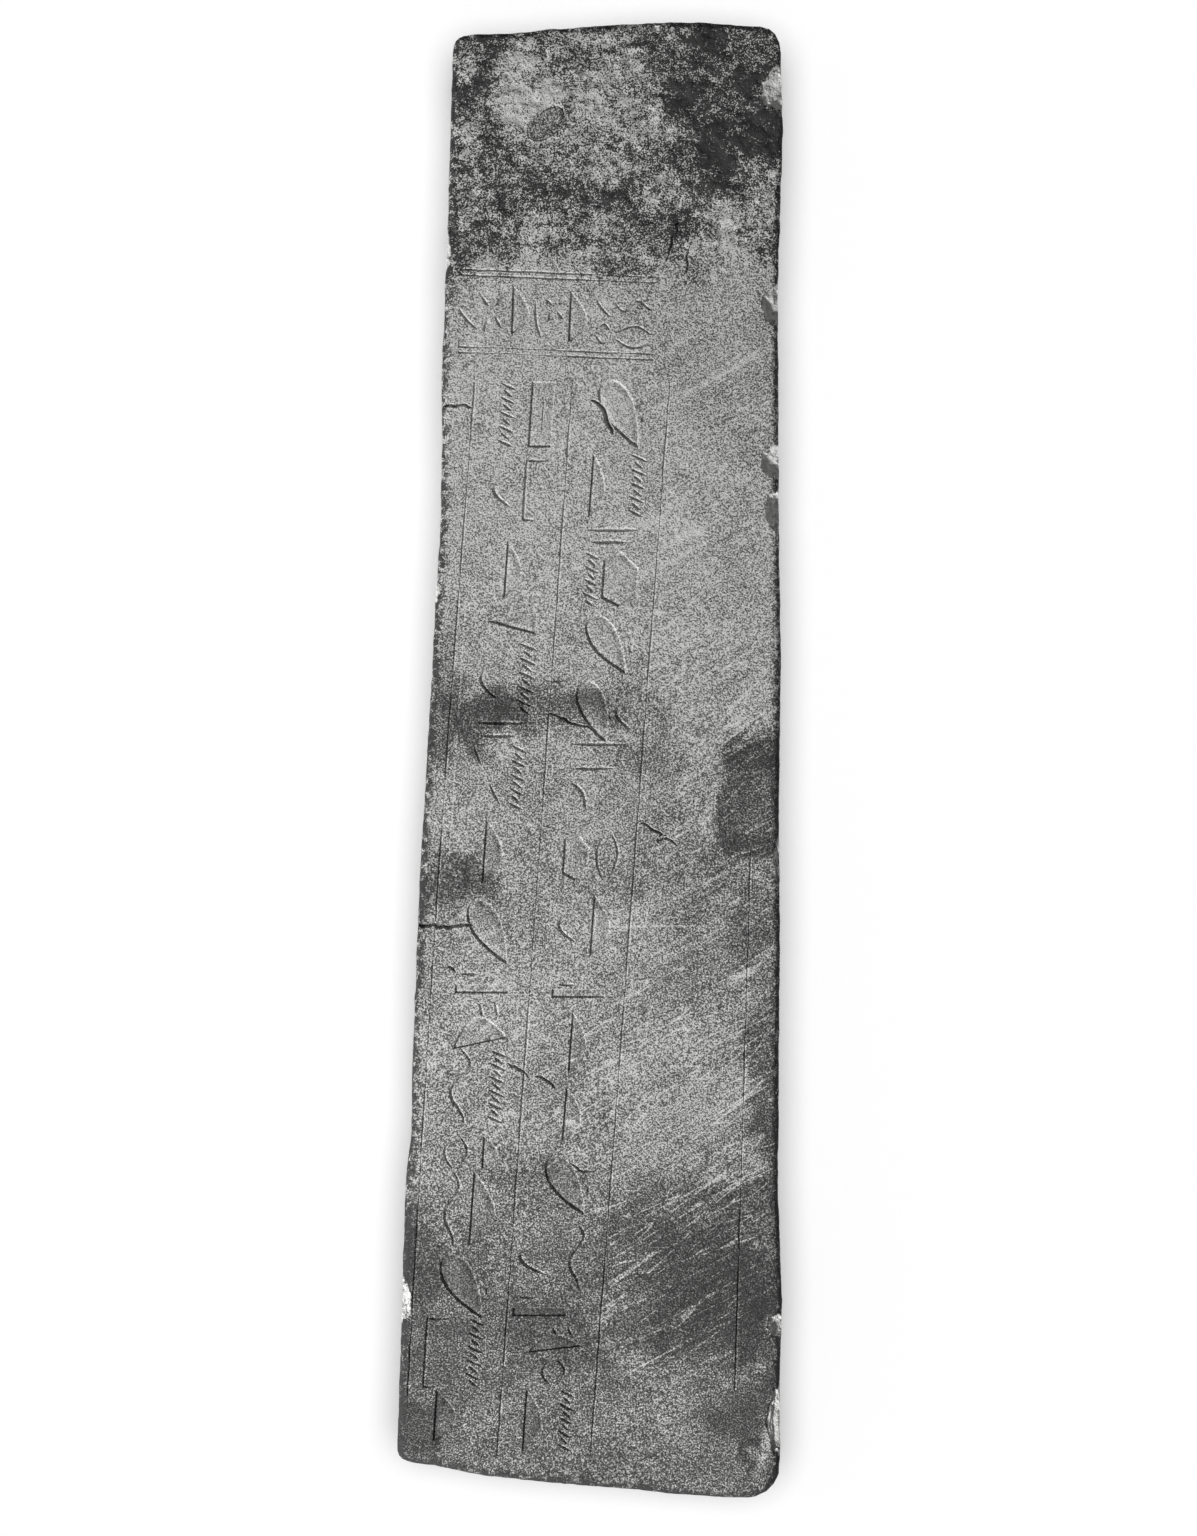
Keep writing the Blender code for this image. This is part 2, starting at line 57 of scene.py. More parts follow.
print("slab", [round(size, 4) for size in slab_high - slab_low], "m")

# %% [markdown]
# ## The outline
# A mason would scribe the outline on the block first. Ours is already in the solid, so we slice a copy of
# it at half its height. Everything above and below the slice is cleared away, and what stays is the closed
# line of the sides, free of the chips, which only reach the upper edge.

# %% Slice the outline out of the solid
def cut_plane(shape, place, normal, faces=None, **clear):
    """Cuts the faces (or all of them) by a plane, and returns what bisect_plane gives."""
    faces = shape.faces[:] if faces is None else faces
    edges = {edge for face in faces for edge in face.edges} if len(faces) < len(shape.faces) else shape.edges
    verts = {vert for edge in edges for vert in edge.verts} if len(faces) < len(shape.faces) else shape.verts
    geometry = list(verts) + list(edges) + list(faces)
    return bmesh.ops.bisect_plane(shape, geom=geometry, dist=1e-6, plane_co=place, plane_no=normal, **clear)


def slab_outline():
    """The corners of the slab's sides at half its height, in order."""
    shape = bmesh.new()
    shape.from_mesh(bpy.data.objects["inscribed_slab"].data)
    bmesh.ops.remove_doubles(shape, verts=shape.verts, dist=1e-5)
    cut_plane(shape, (0, 0, TOP / 2), (0, 0, 1), clear_outer=True, clear_inner=True)
    bmesh.ops.dissolve_limit(shape, angle_limit=0.002, verts=shape.verts, edges=shape.edges)
    bmesh.ops.remove_doubles(shape, verts=shape.verts, dist=0.0015)
    bmesh.ops.contextual_create(shape, geom=shape.edges)
    corners = [Vector((vert.co.x, vert.co.y, 0.0)) for vert in shape.faces[:][0].verts]
    shape.free()
    return corners


rim = slab_outline()
sides = [(end - start).length for start, end in zip(rim, rim[1:] + rim[:1])]
print("outline of", len(rim), "corners, shortest side", round(min(sides) * 1000, 2), "mm")

# %% [markdown]
# ## The blank
# The outline is pulled up to the slab's thickness and its long upper and lower edges are rounded off with a
# bevel. Fine roughness needs fine geometry, so we slice the blank into strips both ways with many parallel
# planes, as if slicing bread. Only the face and the sides get the fine grid. The bed, which nobody sees
# while the slab lies, is left open until the end and closed with a wider grid.

# %% Raise, round and slice the blank
ARRIS = 0.005
ARRIS_STEPS = 3
FACE_PITCH = 0.0043
SIDE_PITCH = 0.0090
BED_PITCH = 0.0150
HEAD_END_Y = 0.500


def slice_up(shape, axis, pitch, tagged=False):
    """Cuts the shape, or its tagged faces, by planes across an axis, a pitch apart."""
    normal = Vector((0, 0, 0))
    normal[axis] = 1.0
    low, high = slab_low[axis], slab_high[axis]
    count = round((high - low) / pitch)
    for number in range(1, count):
        place = normal * (low + (high - low) * number / count)
        only = [face for face in shape.faces if face.tag] if tagged else None
        result = cut_plane(shape, place, normal, only)
        for item in result["geom_cut"] if tagged else ():
            if isinstance(item, bmesh.types.BMEdge):
                for face in item.link_faces:
                    face.tag = True


def face_outward(shape):
    bmesh.ops.recalc_face_normals(shape, faces=shape.faces)
    if shape.calc_volume(signed=True) < 0:
        bmesh.ops.reverse_faces(shape, faces=shape.faces)


def raised_blank():
    shape = bmesh.new()
    shape.faces.new([shape.verts.new(corner) for corner in rim])
    raised = bmesh.ops.extrude_face_region(shape, geom=shape.faces[:])
    lifted = [item for item in raised["geom"] if isinstance(item, bmesh.types.BMVert)]
    bmesh.ops.translate(shape, verts=lifted, vec=(0, 0, TOP))
    face_outward(shape)
    level = [edge for edge in shape.edges if abs(edge.verts[0].co.z - edge.verts[1].co.z) < ARRIS]
    bmesh.ops.bevel(
        shape, geom=level, offset=ARRIS, offset_type="OFFSET", segments=ARRIS_STEPS,
        profile=0.5, affect="EDGES", material=-1,
    )
    bed = [face for face in shape.faces if face.normal.z < -0.99]
    bmesh.ops.delete(shape, geom=bed, context="FACES_ONLY")
    for axis, pitch in ((1, FACE_PITCH), (0, FACE_PITCH), (2, SIDE_PITCH)):
        slice_up(shape, axis, pitch)
    head = {
        edge for face in shape.faces for edge in face.edges
        if face.normal.z > 0.5 and face.calc_center_median().y > HEAD_END_Y - 0.02
    }
    bmesh.ops.subdivide_edges(shape, edges=list(head), cuts=1, use_grid_fill=True)
    open_edges = [edge for edge in shape.edges if edge.is_boundary]
    for face in shape.faces:
        face.tag = False
    for face in bmesh.ops.contextual_create(shape, geom=open_edges)["faces"]:
        face.tag = True
    for axis in (1, 0):
        slice_up(shape, axis, BED_PITCH, tagged=True)
    face_outward(shape)
    return shape


blank = raised_blank()
print("blank of", len(blank.faces), "faces, open edges:", sum(not edge.is_manifold for edge in blank.edges))

# %% [markdown]
# ## Wear
# Every point is pushed inward, never outward, by an amount that depends on where it is: a slow swell of the
# dressed surface, rough bruised ground at the head, crumbling along the edges, and coarse dressing on the
# bed, which stays flat where it touches the ground. Noise functions give such amounts. They are smooth and
# always the same, so the slab comes out alike each time. The wear of the face is a function by itself,
# because the carver's tools will have to follow it.

# %% How much is worn off the face
SWELL = 0.0006
FINE_ROUGHNESS = 0.00018
HEAD_BRUISES = 0.0016
HEAD_PITS = 0.0012
EDGE_CRUMBLE = 0.0022
EDGE_REACH = 0.011


def ramp(value, start, end):
    """0 before start, 1 after end and a smooth rise between, for numbers or arrays."""
    share = np.clip((value - start) / (end - start), 0.0, 1.0)
    return share * share * (3.0 - 2.0 * share)


def rim_distance(points):
    """How far each point is from the outline, seen from above."""
    nearest = np.full(len(points), 1.0)
    flat = points[:, :2]
    for start, end in zip(rim, rim[1:] + rim[:1]):
        start, along = np.array(start[:2]), np.array((end - start)[:2])
        share = np.clip((flat - start) @ along / (along @ along), 0.0, 1.0)
        nearest = np.minimum(nearest, np.linalg.norm(flat - start - share[:, None] * along, axis=1))
    return nearest


def swell(points, size, seed, octaves=3):
    """Smooth noise from 0 to 1 at each point, whose bumps are about this size."""
    shift = Vector((seed * 7.1, seed * 3.7, seed * 1.3))
    values = [
        noise.fractal(Vector(point) / size + shift, 0.9, 2.1, octaves, noise_basis="PERLIN_NEW")
        for point in points
    ]
    return np.clip(0.5 + 0.55 * np.array(values), 0.0, 1.0)


def face_wear(points):
    """How far the face lies under its highest level at each point, in metres."""
    flat = points * np.array((1.0, 1.0, 0.0))
    head = ramp(flat[:, 1] + 0.03 * (swell(flat, 0.05, 8) - 0.5), HEAD_END_Y - 0.02, HEAD_END_Y + 0.04)
    worn = SWELL * swell(flat, 0.090, 1) + FINE_ROUGHNESS * swell(flat, 0.0085, 3, 2)
    worn += head * HEAD_BRUISES * ramp(swell(flat, 0.024, 4), 0.35, 0.75)
    worn += head * HEAD_PITS * ramp(swell(flat, 0.0075, 5, 2), 0.50, 0.80)
    return worn + EDGE_CRUMBLE * ramp(rim_distance(flat), EDGE_REACH, 0.0) * swell(flat, 0.014, 6)


probe = np.array([(0.0, y, TOP) for y in (-0.6, -0.2, 0.2, 0.6)])
print("face worn by", (face_wear(probe) * 1000).round(2), "mm")

# %% [markdown]
# The sides and the bed were dressed with a point, so they are coarser than the face. A mesh knows which way
# each of its points looks. A point that looks up is worn as the face is, one that looks sideways as the
# sides are, and one between them by a share of both, so that the arris has no step.

# %% Push the surface in
SIDE_DRESSING = 0.0020
BED_DRESSING = 0.0022


def wear_down(shape):
    shape.normal_update()
    points = np.array([vert.co for vert in shape.verts])
    normals = np.array([vert.normal for vert in shape.verts])
    up, down = np.clip(normals[:, 2], 0, 1), np.clip(-normals[:, 2], 0, 1)
    side = np.sqrt(np.clip(1.0 - normals[:, 2] ** 2, 0.0, 1.0))
    middle = swell(points, 0.022, 2)
    dressing = 0.65 * middle + 0.35 * swell(points, 0.009, 7, 2)
    amount = up * face_wear(points) + side * SIDE_DRESSING * dressing
    amount += down * BED_DRESSING * ramp(middle, 0.42, 0.80)
    for vert, push in zip(shape.verts, normals * amount[:, None]):
        vert.co -= Vector(push)


wear_down(blank)
print("worn blank from z", round(min(vert.co.z for vert in blank.verts), 5),
      "to", round(max(vert.co.z for vert in blank.verts), 5))

# %% [markdown]
# ## Where the carver ruled the lines
# Three long lines hold the rows, and two pairs hold the band near the head. They follow the slanting left
# edge, so we name the slab's four sharp corners and measure every line from them, in metres.

# %% Corners and ruled lines
FOOT_LEFT, FOOT_RIGHT = Vector((-0.1948, -0.7024)), Vector((0.1912, -0.7404))
HEAD_RIGHT, HEAD_LEFT = Vector((0.1912, 0.7396)), Vector((-0.1378, 0.7266))
BAND_START, BAND_HEIGHT, BAND_LENGTH = 0.254, 0.0715, 0.196
BAND_MARGIN, BAND_TILT, PAIR_GAP = 0.018, 0.008, 0.0055
ROWS_START, ROWS_END_GAP = 0.362, 0.006
ROW_HEIGHT_HEAD, ROW_HEIGHT_FOOT = 0.0975, 0.0935
MARGIN_HEAD, MARGIN_FOOT = 0.037, 0.0085
FIRST_LINE_SAG, FIRST_LINE_WORN = 0.0035, 0.060
LOW_LINE_INSET_HEAD, LOW_LINE_INSET_FOOT = 0.030, 0.046
LOW_LINE_START, LOW_LINE_LENGTH = 0.828, 0.543


def blend(a, b, share):
    return a + (b - a) * share


def inside_edge(edge, y, inset):
    """A point this far in from a long edge, at this height along the slab."""
    foot, head = (FOOT_LEFT, HEAD_LEFT) if edge == "left" else (FOOT_RIGHT, HEAD_RIGHT)
    inward = inset if edge == "left" else -inset
    return blend(foot, head, (y - foot.y) / (head.y - foot.y)) + Vector((inward, 0.0))


def row_line(number):
    head = inside_edge("left", HEAD_RIGHT.y - ROWS_START, MARGIN_HEAD + number * ROW_HEIGHT_HEAD)
    foot = inside_edge("left", FOOT_LEFT.y + ROWS_END_GAP, MARGIN_FOOT + number * ROW_HEIGHT_FOOT)
    return head, foot


def band_line(number):
    start = inside_edge("left", HEAD_RIGHT.y - BAND_START - number * BAND_HEIGHT, BAND_MARGIN)
    return start, start + Vector((BAND_LENGTH, -BAND_TILT))


first_line, second_line, third_line = (row_line(number) for number in range(3))
band_top, band_foot = band_line(0), band_line(1)
low_start_y = HEAD_RIGHT.y - LOW_LINE_START
low_line = (
    inside_edge("right", low_start_y, LOW_LINE_INSET_HEAD),
    inside_edge("right", low_start_y - LOW_LINE_LENGTH, LOW_LINE_INSET_FOOT),
)
print("rows run", round((first_line[1] - first_line[0]).length, 3), "m")

# %% [markdown]
# ## The marks
# The rows are filled with shallow cuts that aren't letters: tallies of nicks, bows, bars, leaves and drops.
# A chisel leaves two kinds of cut. A stroke is a V-shaped groove that fades at its tips, and a sunk mark is
# a small pit with steep walls and a floor that rises a little inside its outline. We first collect both
# kinds as flat drawings in the row's own measure: x along the row, y across it.

# %% Drawing the marks
LINE_WIDTH = 0.0032
NICK_WIDTH = 0.0042
STROKE_WIDTH = 0.0054
NICK_PITCH = 0.0068
NICK_LEAN = -0.0034
BAR_WIDTH = 0.007
DROP_FATNESS = 0.26
CURVE_STEPS = 12
LEAF_STEPS = 14
DROP_STEPS = 28


def bowed(start, end, bulge, steps=CURVE_STEPS):
    """Points along a bow, its middle pushed sideways by a share of its length."""
    along = end - start
    sideways = Vector((-along.y, along.x)) * bulge
    shares = [step / steps for step in range(steps + 1)]
    return [start + along * t + sideways * math.sin(math.pi * t) for t in shares]


def straight(start, end):
    return bowed(start, end, 0.0, 5)


def leaf(start, end, bulge, lean=0.0):
    """An outline with one straight side, from start to end, and one side that swells out."""
    along = end - start
    sideways = Vector((-along.y, along.x)) * bulge
    outline = [start]
    for step in range(1, LEAF_STEPS + 1):
        t = step / (LEAF_STEPS + 1)
        outline.append(start + along * (t + lean * math.sin(math.pi * t)) + sideways * math.sin(math.pi * t))
    return outline + [end]


class Marks:
    """The cuts of one group."""

    def __init__(self, width):
        self.width = width
        self.strokes = []
        self.sunk = []

    def cut(self, points, width=None):
        self.strokes.append((points, width or self.width))

    def nicks(self, a, b):
        """A tally of short slanting nicks, long and short by turns."""
        count = max(3, round((b.x - a.x) / NICK_PITCH))
        for number in range(count):
            x = blend(a.x, b.x, (number + 0.5) / count)
            short = 0.22 if number % 2 else 0.0
            high, low = blend(a.y, b.y, short), blend(b.y, a.y, short)
            self.cut(straight(Vector((x + NICK_LEAN, high)), Vector((x - NICK_LEAN, low))), NICK_WIDTH)

    def bow_across(self, a, b):
        """A bow that is open towards the next line."""
        start, end = Vector((blend(a.x, b.x, 0.22), b.y)), Vector((blend(a.x, b.x, 0.78), b.y))
        self.cut(bowed(start, end, (a.y - b.y) / (end.x - start.x)))

    def bow_pair(self, a, b):
        """Two bows that face each other and stay apart."""
        low, high = blend(a.y, b.y, 0.36), blend(a.y, b.y, 0.64)
        bulge = (b.y - a.y) * 0.36 / (b.x - a.x)
        self.cut(bowed(Vector((a.x, low)), Vector((b.x, low)), -bulge), NICK_WIDTH)
        self.cut(bowed(Vector((b.x, high)), Vector((a.x, high)), -bulge), NICK_WIDTH)

    def bracket(self, a, b):
        """A long cut that turns a corner at both ends, with unequal arms."""
        corners = [(a.x, b.y), (a.x, a.y), (b.x, a.y), (b.x, blend(a.y, b.y, 0.6))]
        points = []
        for start, end in zip(corners, corners[1:]):
            points += bowed(Vector(start), Vector(end), 0.0, 6)[:-1]
        self.cut(points + [Vector(corners[-1])], NICK_WIDTH)

    def half_moon(self, a, b):
        """A long sunk leaf with one straight side."""
        self.sunk.append(leaf(a, Vector((b.x, a.y)), (b.y - a.y) / (b.x - a.x), 0.06))

    def cross_moon(self, a, b):
        """The same leaf, set across the row."""
        self.sunk.append(leaf(a, Vector((a.x, b.y)), -(b.x - a.x) / (b.y - a.y), 0.06))

    def wave(self, a, b):
        """A cut that swings from side to side."""
        points = []
        for step in range(2 * CURVE_STEPS + 1):
            t = step / (2 * CURVE_STEPS)
            swing = 0.5 + 0.42 * math.sin(2.5 * math.pi * t) * (1 - 0.4 * t)
            points.append(Vector((blend(a.x, b.x, t), blend(a.y, b.y, swing))))
        self.cut(points)

    def pair(self, a, b):
        """Two cuts across the row, one shorter than the other."""
        self.cut(straight(a, Vector((a.x, b.y))))
        self.cut(straight(Vector((b.x, blend(a.y, b.y, 0.08))), Vector((b.x, blend(a.y, b.y, 0.78)))))

    def cross_dash(self, a, b):
        """One cut across the row, aslant."""
        self.cut(bowed(a, b, 0.06), NICK_WIDTH)

    def spray(self, a, b):
        """Four cuts that open out from one place and stay apart."""
        root = Vector((blend(a.x, b.x, 0.45), blend(a.y, b.y, 0.45)))
        for tip_x, tip_y in ((0.0, 0.1), (1.0, 0.0), (0.9, 0.9), (0.15, 1.0)):
            tip = Vector((blend(a.x, b.x, tip_x), blend(a.y, b.y, tip_y)))
            self.cut(straight(blend(root, tip, 0.30), tip), NICK_WIDTH)

    def chevron(self, a, b):
        """Two cuts that lean towards each other."""
        foot, other = Vector((b.x, blend(a.y, b.y, 0.42))), Vector((a.x, b.y))
        self.cut(bowed(a, blend(foot, a, 0.22), 0.16))
        self.cut(straight(blend(foot, other, 0.22), other))

    def slot(self, a, b):
        """A long narrow sunk bar, with a cut along its floor."""
        self.sunk.append([a, Vector((b.x, a.y)), b, Vector((a.x, b.y))])
        across = blend(a.y, b.y, 0.58)
        ends = [Vector((blend(a.x, b.x, share), across)) for share in (0.14, 0.88)]
        self.cut(straight(*ends), NICK_WIDTH)

    def wedge(self, a, b):
        """A sunk wedge that narrows to a point."""
        self.sunk.append([Vector((blend(a.x, b.x, 0.4), a.y)), Vector((b.x, b.y)), Vector((a.x, b.y))])

    def cross_bar(self, a, b):
        """A narrow sunk bar across the row, and a short cut beside it."""
        low_x = b.x - BAR_WIDTH
        corners = ((low_x, a.y), (b.x, a.y), (b.x, b.y), (low_x, b.y))
        self.sunk.append([Vector(corner) for corner in corners])
        start = Vector((blend(a.x, low_x, 0.3), blend(a.y, b.y, 0.1)))
        self.cut(straight(start, Vector((start.x, blend(a.y, b.y, 0.4)))), NICK_WIDTH)

    def fan(self, a, b):
        """A sunk leaf across the row, with two short cuts above its back."""
        base = blend(a.x, b.x, 0.45)
        start, end = Vector((b.x, a.y)), Vector((blend(a.x, b.x, 0.75), b.y))
        self.sunk.append(leaf(start, end, (b.x - base) / (b.y - a.y)))
        for share in (0.45, 0.75):
            root = Vector((blend(a.x, b.x, 0.28), blend(a.y, b.y, share + 0.06)))
            self.cut(straight(root, Vector((a.x, blend(a.y, b.y, share)))), NICK_WIDTH)

    def lozenge(self, a, b):
        """A sunk lozenge with blunt ends."""
        corners = ((0.15, 0.0), (0.85, 0.0), (1.0, 0.5), (0.75, 1.0), (0.3, 1.0), (0.0, 0.45))
        self.sunk.append([Vector((blend(a.x, b.x, u), blend(a.y, b.y, v))) for u, v in corners])

    def drop(self, a, b):
        """A sunk drop that lies aslant, with two short cuts beside it."""
        head, tail = Vector((a.x, blend(a.y, b.y, 0.16))), Vector((b.x, blend(a.y, b.y, 0.90)))
        axis = tail - head
        side = Vector((-axis.y, axis.x)) * DROP_FATNESS
        outline = []
        for step in range(DROP_STEPS):
            turn = 2 * math.pi * step / DROP_STEPS
            along = (1 - math.cos(turn)) / 2
            outline.append(head + axis * along + side * math.sin(turn) * (1 - along) ** 0.5)
        self.sunk.append(outline)
        for root_x, tip_x in ((0.40, 0.26), (0.62, 0.50)):
            root = Vector((blend(a.x, b.x, root_x), blend(a.y, b.y, root_x + 0.34)))
            self.cut(straight(root, Vector((blend(a.x, b.x, tip_x), b.y))), NICK_WIDTH)


mark_names = [name for name in vars(Marks) if name[0] != "_" and name != "cut"]
print(len(mark_names), "kinds of mark")

# %% [markdown]
# Each row is a list of groups from head to foot: how long the group is, the gap after it, and its marks,
# each with the share of the row's height from which and to which it reaches. The lengths are stretched
# together to fill the row, so the drawing always fits between its lines.

# %% Lay out the rows
LEFT_ROW = (
    (0.064, 0.014, (("nicks", 0.27, 0.42), ("slot", 0.59, 0.81))),
    (0.059, 0.022, (("bow_across", 0.27, 0.44), ("bracket", 0.59, 0.79))),
    (0.055, 0.017, (("half_moon", 0.44, 0.60),)),
    (0.020, 0.010, (("wedge", 0.29, 0.79),)),
    (0.070, 0.009, (("bow_across", 0.27, 0.44), ("nicks", 0.65, 0.82))),
    (0.013, 0.010, (("pair", 0.26, 0.77),)),
    (0.064, 0.011, (("spray", 0.20, 0.58), ("nicks", 0.64, 0.79))),
    (0.062, 0.020, (("half_moon", 0.42, 0.60),)),
    (0.060, 0.006, (("drop", 0.26, 0.78),)),
    (0.024, 0.011, (("cross_bar", 0.22, 0.76),)),
    (0.045, 0.002, (("fan", 0.24, 0.78),)),
    (0.072, 0.015, (("wave", 0.20, 0.46), ("nicks", 0.64, 0.80))),
    (0.031, 0.004, (("bow_pair", 0.22, 0.46), ("half_moon", 0.62, 0.78))),
    (0.073, 0.012, (("wave", 0.24, 0.42), ("half_moon", 0.54, 0.78))),
    (0.059, 0.002, (("drop", 0.22, 0.78),)),
    (0.068, 0.004, (("bracket", 0.16, 0.40), ("nicks", 0.60, 0.76))),
    (0.050, 0.016, (("half_moon", 0.30, 0.52),)),
)
RIGHT_ROW = (
    (0.064, 0.008, (("drop", 0.26, 0.76),)),
    (0.062, 0.013, (("half_moon", 0.26, 0.40), ("nicks", 0.66, 0.82))),
    (0.012, 0.011, (("pair", 0.26, 0.78),)),
    (0.053, 0.012, (("nicks", 0.26, 0.40), ("lozenge", 0.46, 0.80))),
    (0.055, 0.010, (("drop", 0.28, 0.80),)),
    (0.059, 0.002, (("drop", 0.28, 0.64), ("bow_across", 0.70, 0.85))),
    (0.024, 0.015, (("pair", 0.26, 0.82),)),
    (0.034, 0.017, (("chevron", 0.28, 0.80),)),
    (0.046, 0.015, (("lozenge", 0.26, 0.50), ("bow_pair", 0.60, 0.82))),
    (0.060, 0.027, (("bow_across", 0.26, 0.44), ("half_moon", 0.60, 0.78))),
    (0.015, 0.016, (("cross_bar", 0.24, 0.78),)),
    (0.059, 0.016, (("half_moon", 0.46, 0.62),)),
    (0.052, 0.018, (("half_moon", 0.45, 0.62),)),
    (0.055, 0.012, (("drop", 0.26, 0.78),)),
    (0.063, 0.004, (("bow_across", 0.10, 0.38), ("wave", 0.60, 0.78))),
    (0.023, 0.013, (("cross_bar", 0.06, 0.62),)),
    (0.024, 0.008, (("fan", 0.26, 0.80),)),
    (0.024, 0.006, (("bow_pair", 0.42, 0.66),)),
    (0.060, 0.006, (("half_moon", 0.26, 0.44), ("nicks", 0.63, 0.78))),
)
BAND_ROW = (
    (0.019, 0.003, (("cross_dash", 0.48, 0.75),)),
    (0.024, 0.007, (("spray", 0.24, 0.78),)),
    (0.016, 0.008, (("cross_moon", 0.13, 0.79),)),
    (0.006, 0.004, (("cross_dash", 0.34, 0.83),)),
    (0.020, 0.004, (("spray", 0.26, 0.60),)),
    (0.017, 0.010, (("cross_moon", 0.18, 0.87),)),
    (0.014, 0.006, (("cross_dash", 0.28, 0.50), ("bow_pair", 0.60, 0.87))),
    (0.036, 0.003, (("wave", 0.22, 0.44), ("bow_pair", 0.62, 0.92))),
)


def lay_out(row, before, after, width):
    """The cuts of a row between its two ruled lines, as strokes and sunk outlines on the face."""
    room = sum(length + gap for length, gap, _ in row)
    stretch = (before[1] - before[0]).length / room
    height = (after[0] - before[0]).length
    strokes, sunk, cursor = [], [], 0.0

    def on_face(point):
        share, across = point.x / room / stretch, point.y / height
        return blend(blend(*before, share), blend(*after, share), across)

    for length, gap, marks in row:
        group = Marks(width)
        for name, low, high in marks:
            a = Vector((cursor * stretch, low * height))
            b = Vector(((cursor + length) * stretch, high * height))
            getattr(group, name)(a, b)
        strokes += [([on_face(p) for p in points], width) for points, width in group.strokes]
        sunk += [[on_face(p) for p in outline] for outline in group.sunk]
        cursor += length + gap
    return strokes, sunk


strokes, sunk_marks = [], []
for row, before, after, width in (
    (LEFT_ROW, first_line, second_line, STROKE_WIDTH),
    (RIGHT_ROW, second_line, third_line, STROKE_WIDTH),
    (BAND_ROW, band_top, band_foot, NICK_WIDTH),
):
    row_strokes, row_sunk = lay_out(row, before, after, width)
    strokes += row_strokes
    sunk_marks += row_sunk
print(len(strokes), "strokes and", len(sunk_marks), "sunk marks")

# %% [markdown]
# The ruled lines join the strokes. A ruled line keeps one width all along, but a hand-held chisel still
# wanders, so its many points are moved a little off the straight line later on.

# %% Add the ruled lines
worn_end = blend(first_line[1], first_line[0], FIRST_LINE_WORN / (first_line[1] - first_line[0]).length)
sag = -FIRST_LINE_SAG / (worn_end - first_line[0]).length
ruled_lines = [bowed(first_line[0], worn_end, sag, 120)]
ruled_lines += [bowed(*line, 0.0, 120) for line in (second_line, third_line, low_line)]
for line, shift in ((band_top, PAIR_GAP), (band_top, 0.0), (band_foot, 0.0), (band_foot, -PAIR_GAP)):
    ruled_lines.append([point + Vector((0.0, shift)) for point in bowed(*line, 0.0, 30)])
print(len(ruled_lines), "ruled lines")

# %% [markdown]
# ## Damage on the face
# A crack runs in from the left edge, and a few gouges cross the rows. They are cut like strokes, but their
# paths stagger, so each is listed as a few corners in metres with a width, and noise breaks up the rest.

# %% Cracks and gouges
DAMAGE = (
    (((-0.180, -0.164), (-0.150, -0.166), (-0.114, -0.165)), 0.0052),
    (((-0.146, 0.354), (-0.132, 0.356), (-0.118, 0.353)), 0.0048),
    (((0.002, 0.361), (0.012, 0.352), (0.018, 0.338), (0.022, 0.326)), 0.0062),
    (((-0.083, -0.304), (-0.072, -0.308), (-0.062, -0.316)), 0.0046),
    (((-0.056, -0.316), (-0.046, -0.318), (-0.034, -0.328)), 0.0040),
    (((-0.040, 0.046), (-0.018, 0.038), (0.002, 0.030)), 0.0036),
    (((0.050, -0.062), (0.064, -0.070), (0.086, -0.084)), 0.0040),
    (((0.066, -0.084), (0.076, -0.074)), 0.0040),
    (((-0.020, -0.402), (-0.006, -0.412), (0.006, -0.410)), 0.0036),
    (((-0.142, -0.206), (-0.134, -0.212)), 0.0040),
    (((0.076, 0.500), (0.086, 0.526), (0.088, 0.540)), 0.0034),
    (((0.096, 0.488), (0.100, 0.516)), 0.0032),
)
STAGGER = 0.0030


def staggered(corners):
    """A broken path through the corners."""
    path = []
    for start, end in zip(corners, corners[1:]):
        start, end = Vector(start), Vector(end)
        steps = max(3, round((end - start).length / 0.003))
        path += [blend(start, end, step / steps) for step in range(steps)]
    path.append(Vector(corners[-1]))
    for point in path:
        place = Vector((point.x, point.y, 3.3)) * 170
        point += Vector((noise.noise(place), noise.noise(place + Vector((5, 5, 5))))) * STAGGER
    return path


damage = [(staggered(corners), width) for corners, width in DAMAGE]
print(len(damage), "cracks and gouges")

# %% [markdown]
# ## Cutting
# To cut, we need closed tools, and a Boolean then takes away what they overlap. A chisel's groove is a V. A
# curve could carry any section, and one with four corners is enough: it stands on its corner, half under
# the face, and narrows towards its ends. Its points follow the worn face, so a groove is as deep in a
# hollow as on a swell.

# %% Tools for strokes
CUT_LIFT = 0.0006
TIP_SHARE = 0.35
HAND_WANDER = 0.0006
STEEPNESS = 1.10
LINE_FADING = 0.55
CRACK_STEEPNESS = 2.0


def tool_object(name, mesh):
    tool = bpy.data.objects.new(name, mesh)
    bpy.context.scene.collection.objects.link(tool)
    return tool


def wander(point, seed):
    """A small sideways slip of the chisel."""
    place = Vector((point.x, point.y, seed)) * 60
    return Vector((noise.noise(place), noise.noise(place + Vector((9, 9, 9))))) * HAND_WANDER


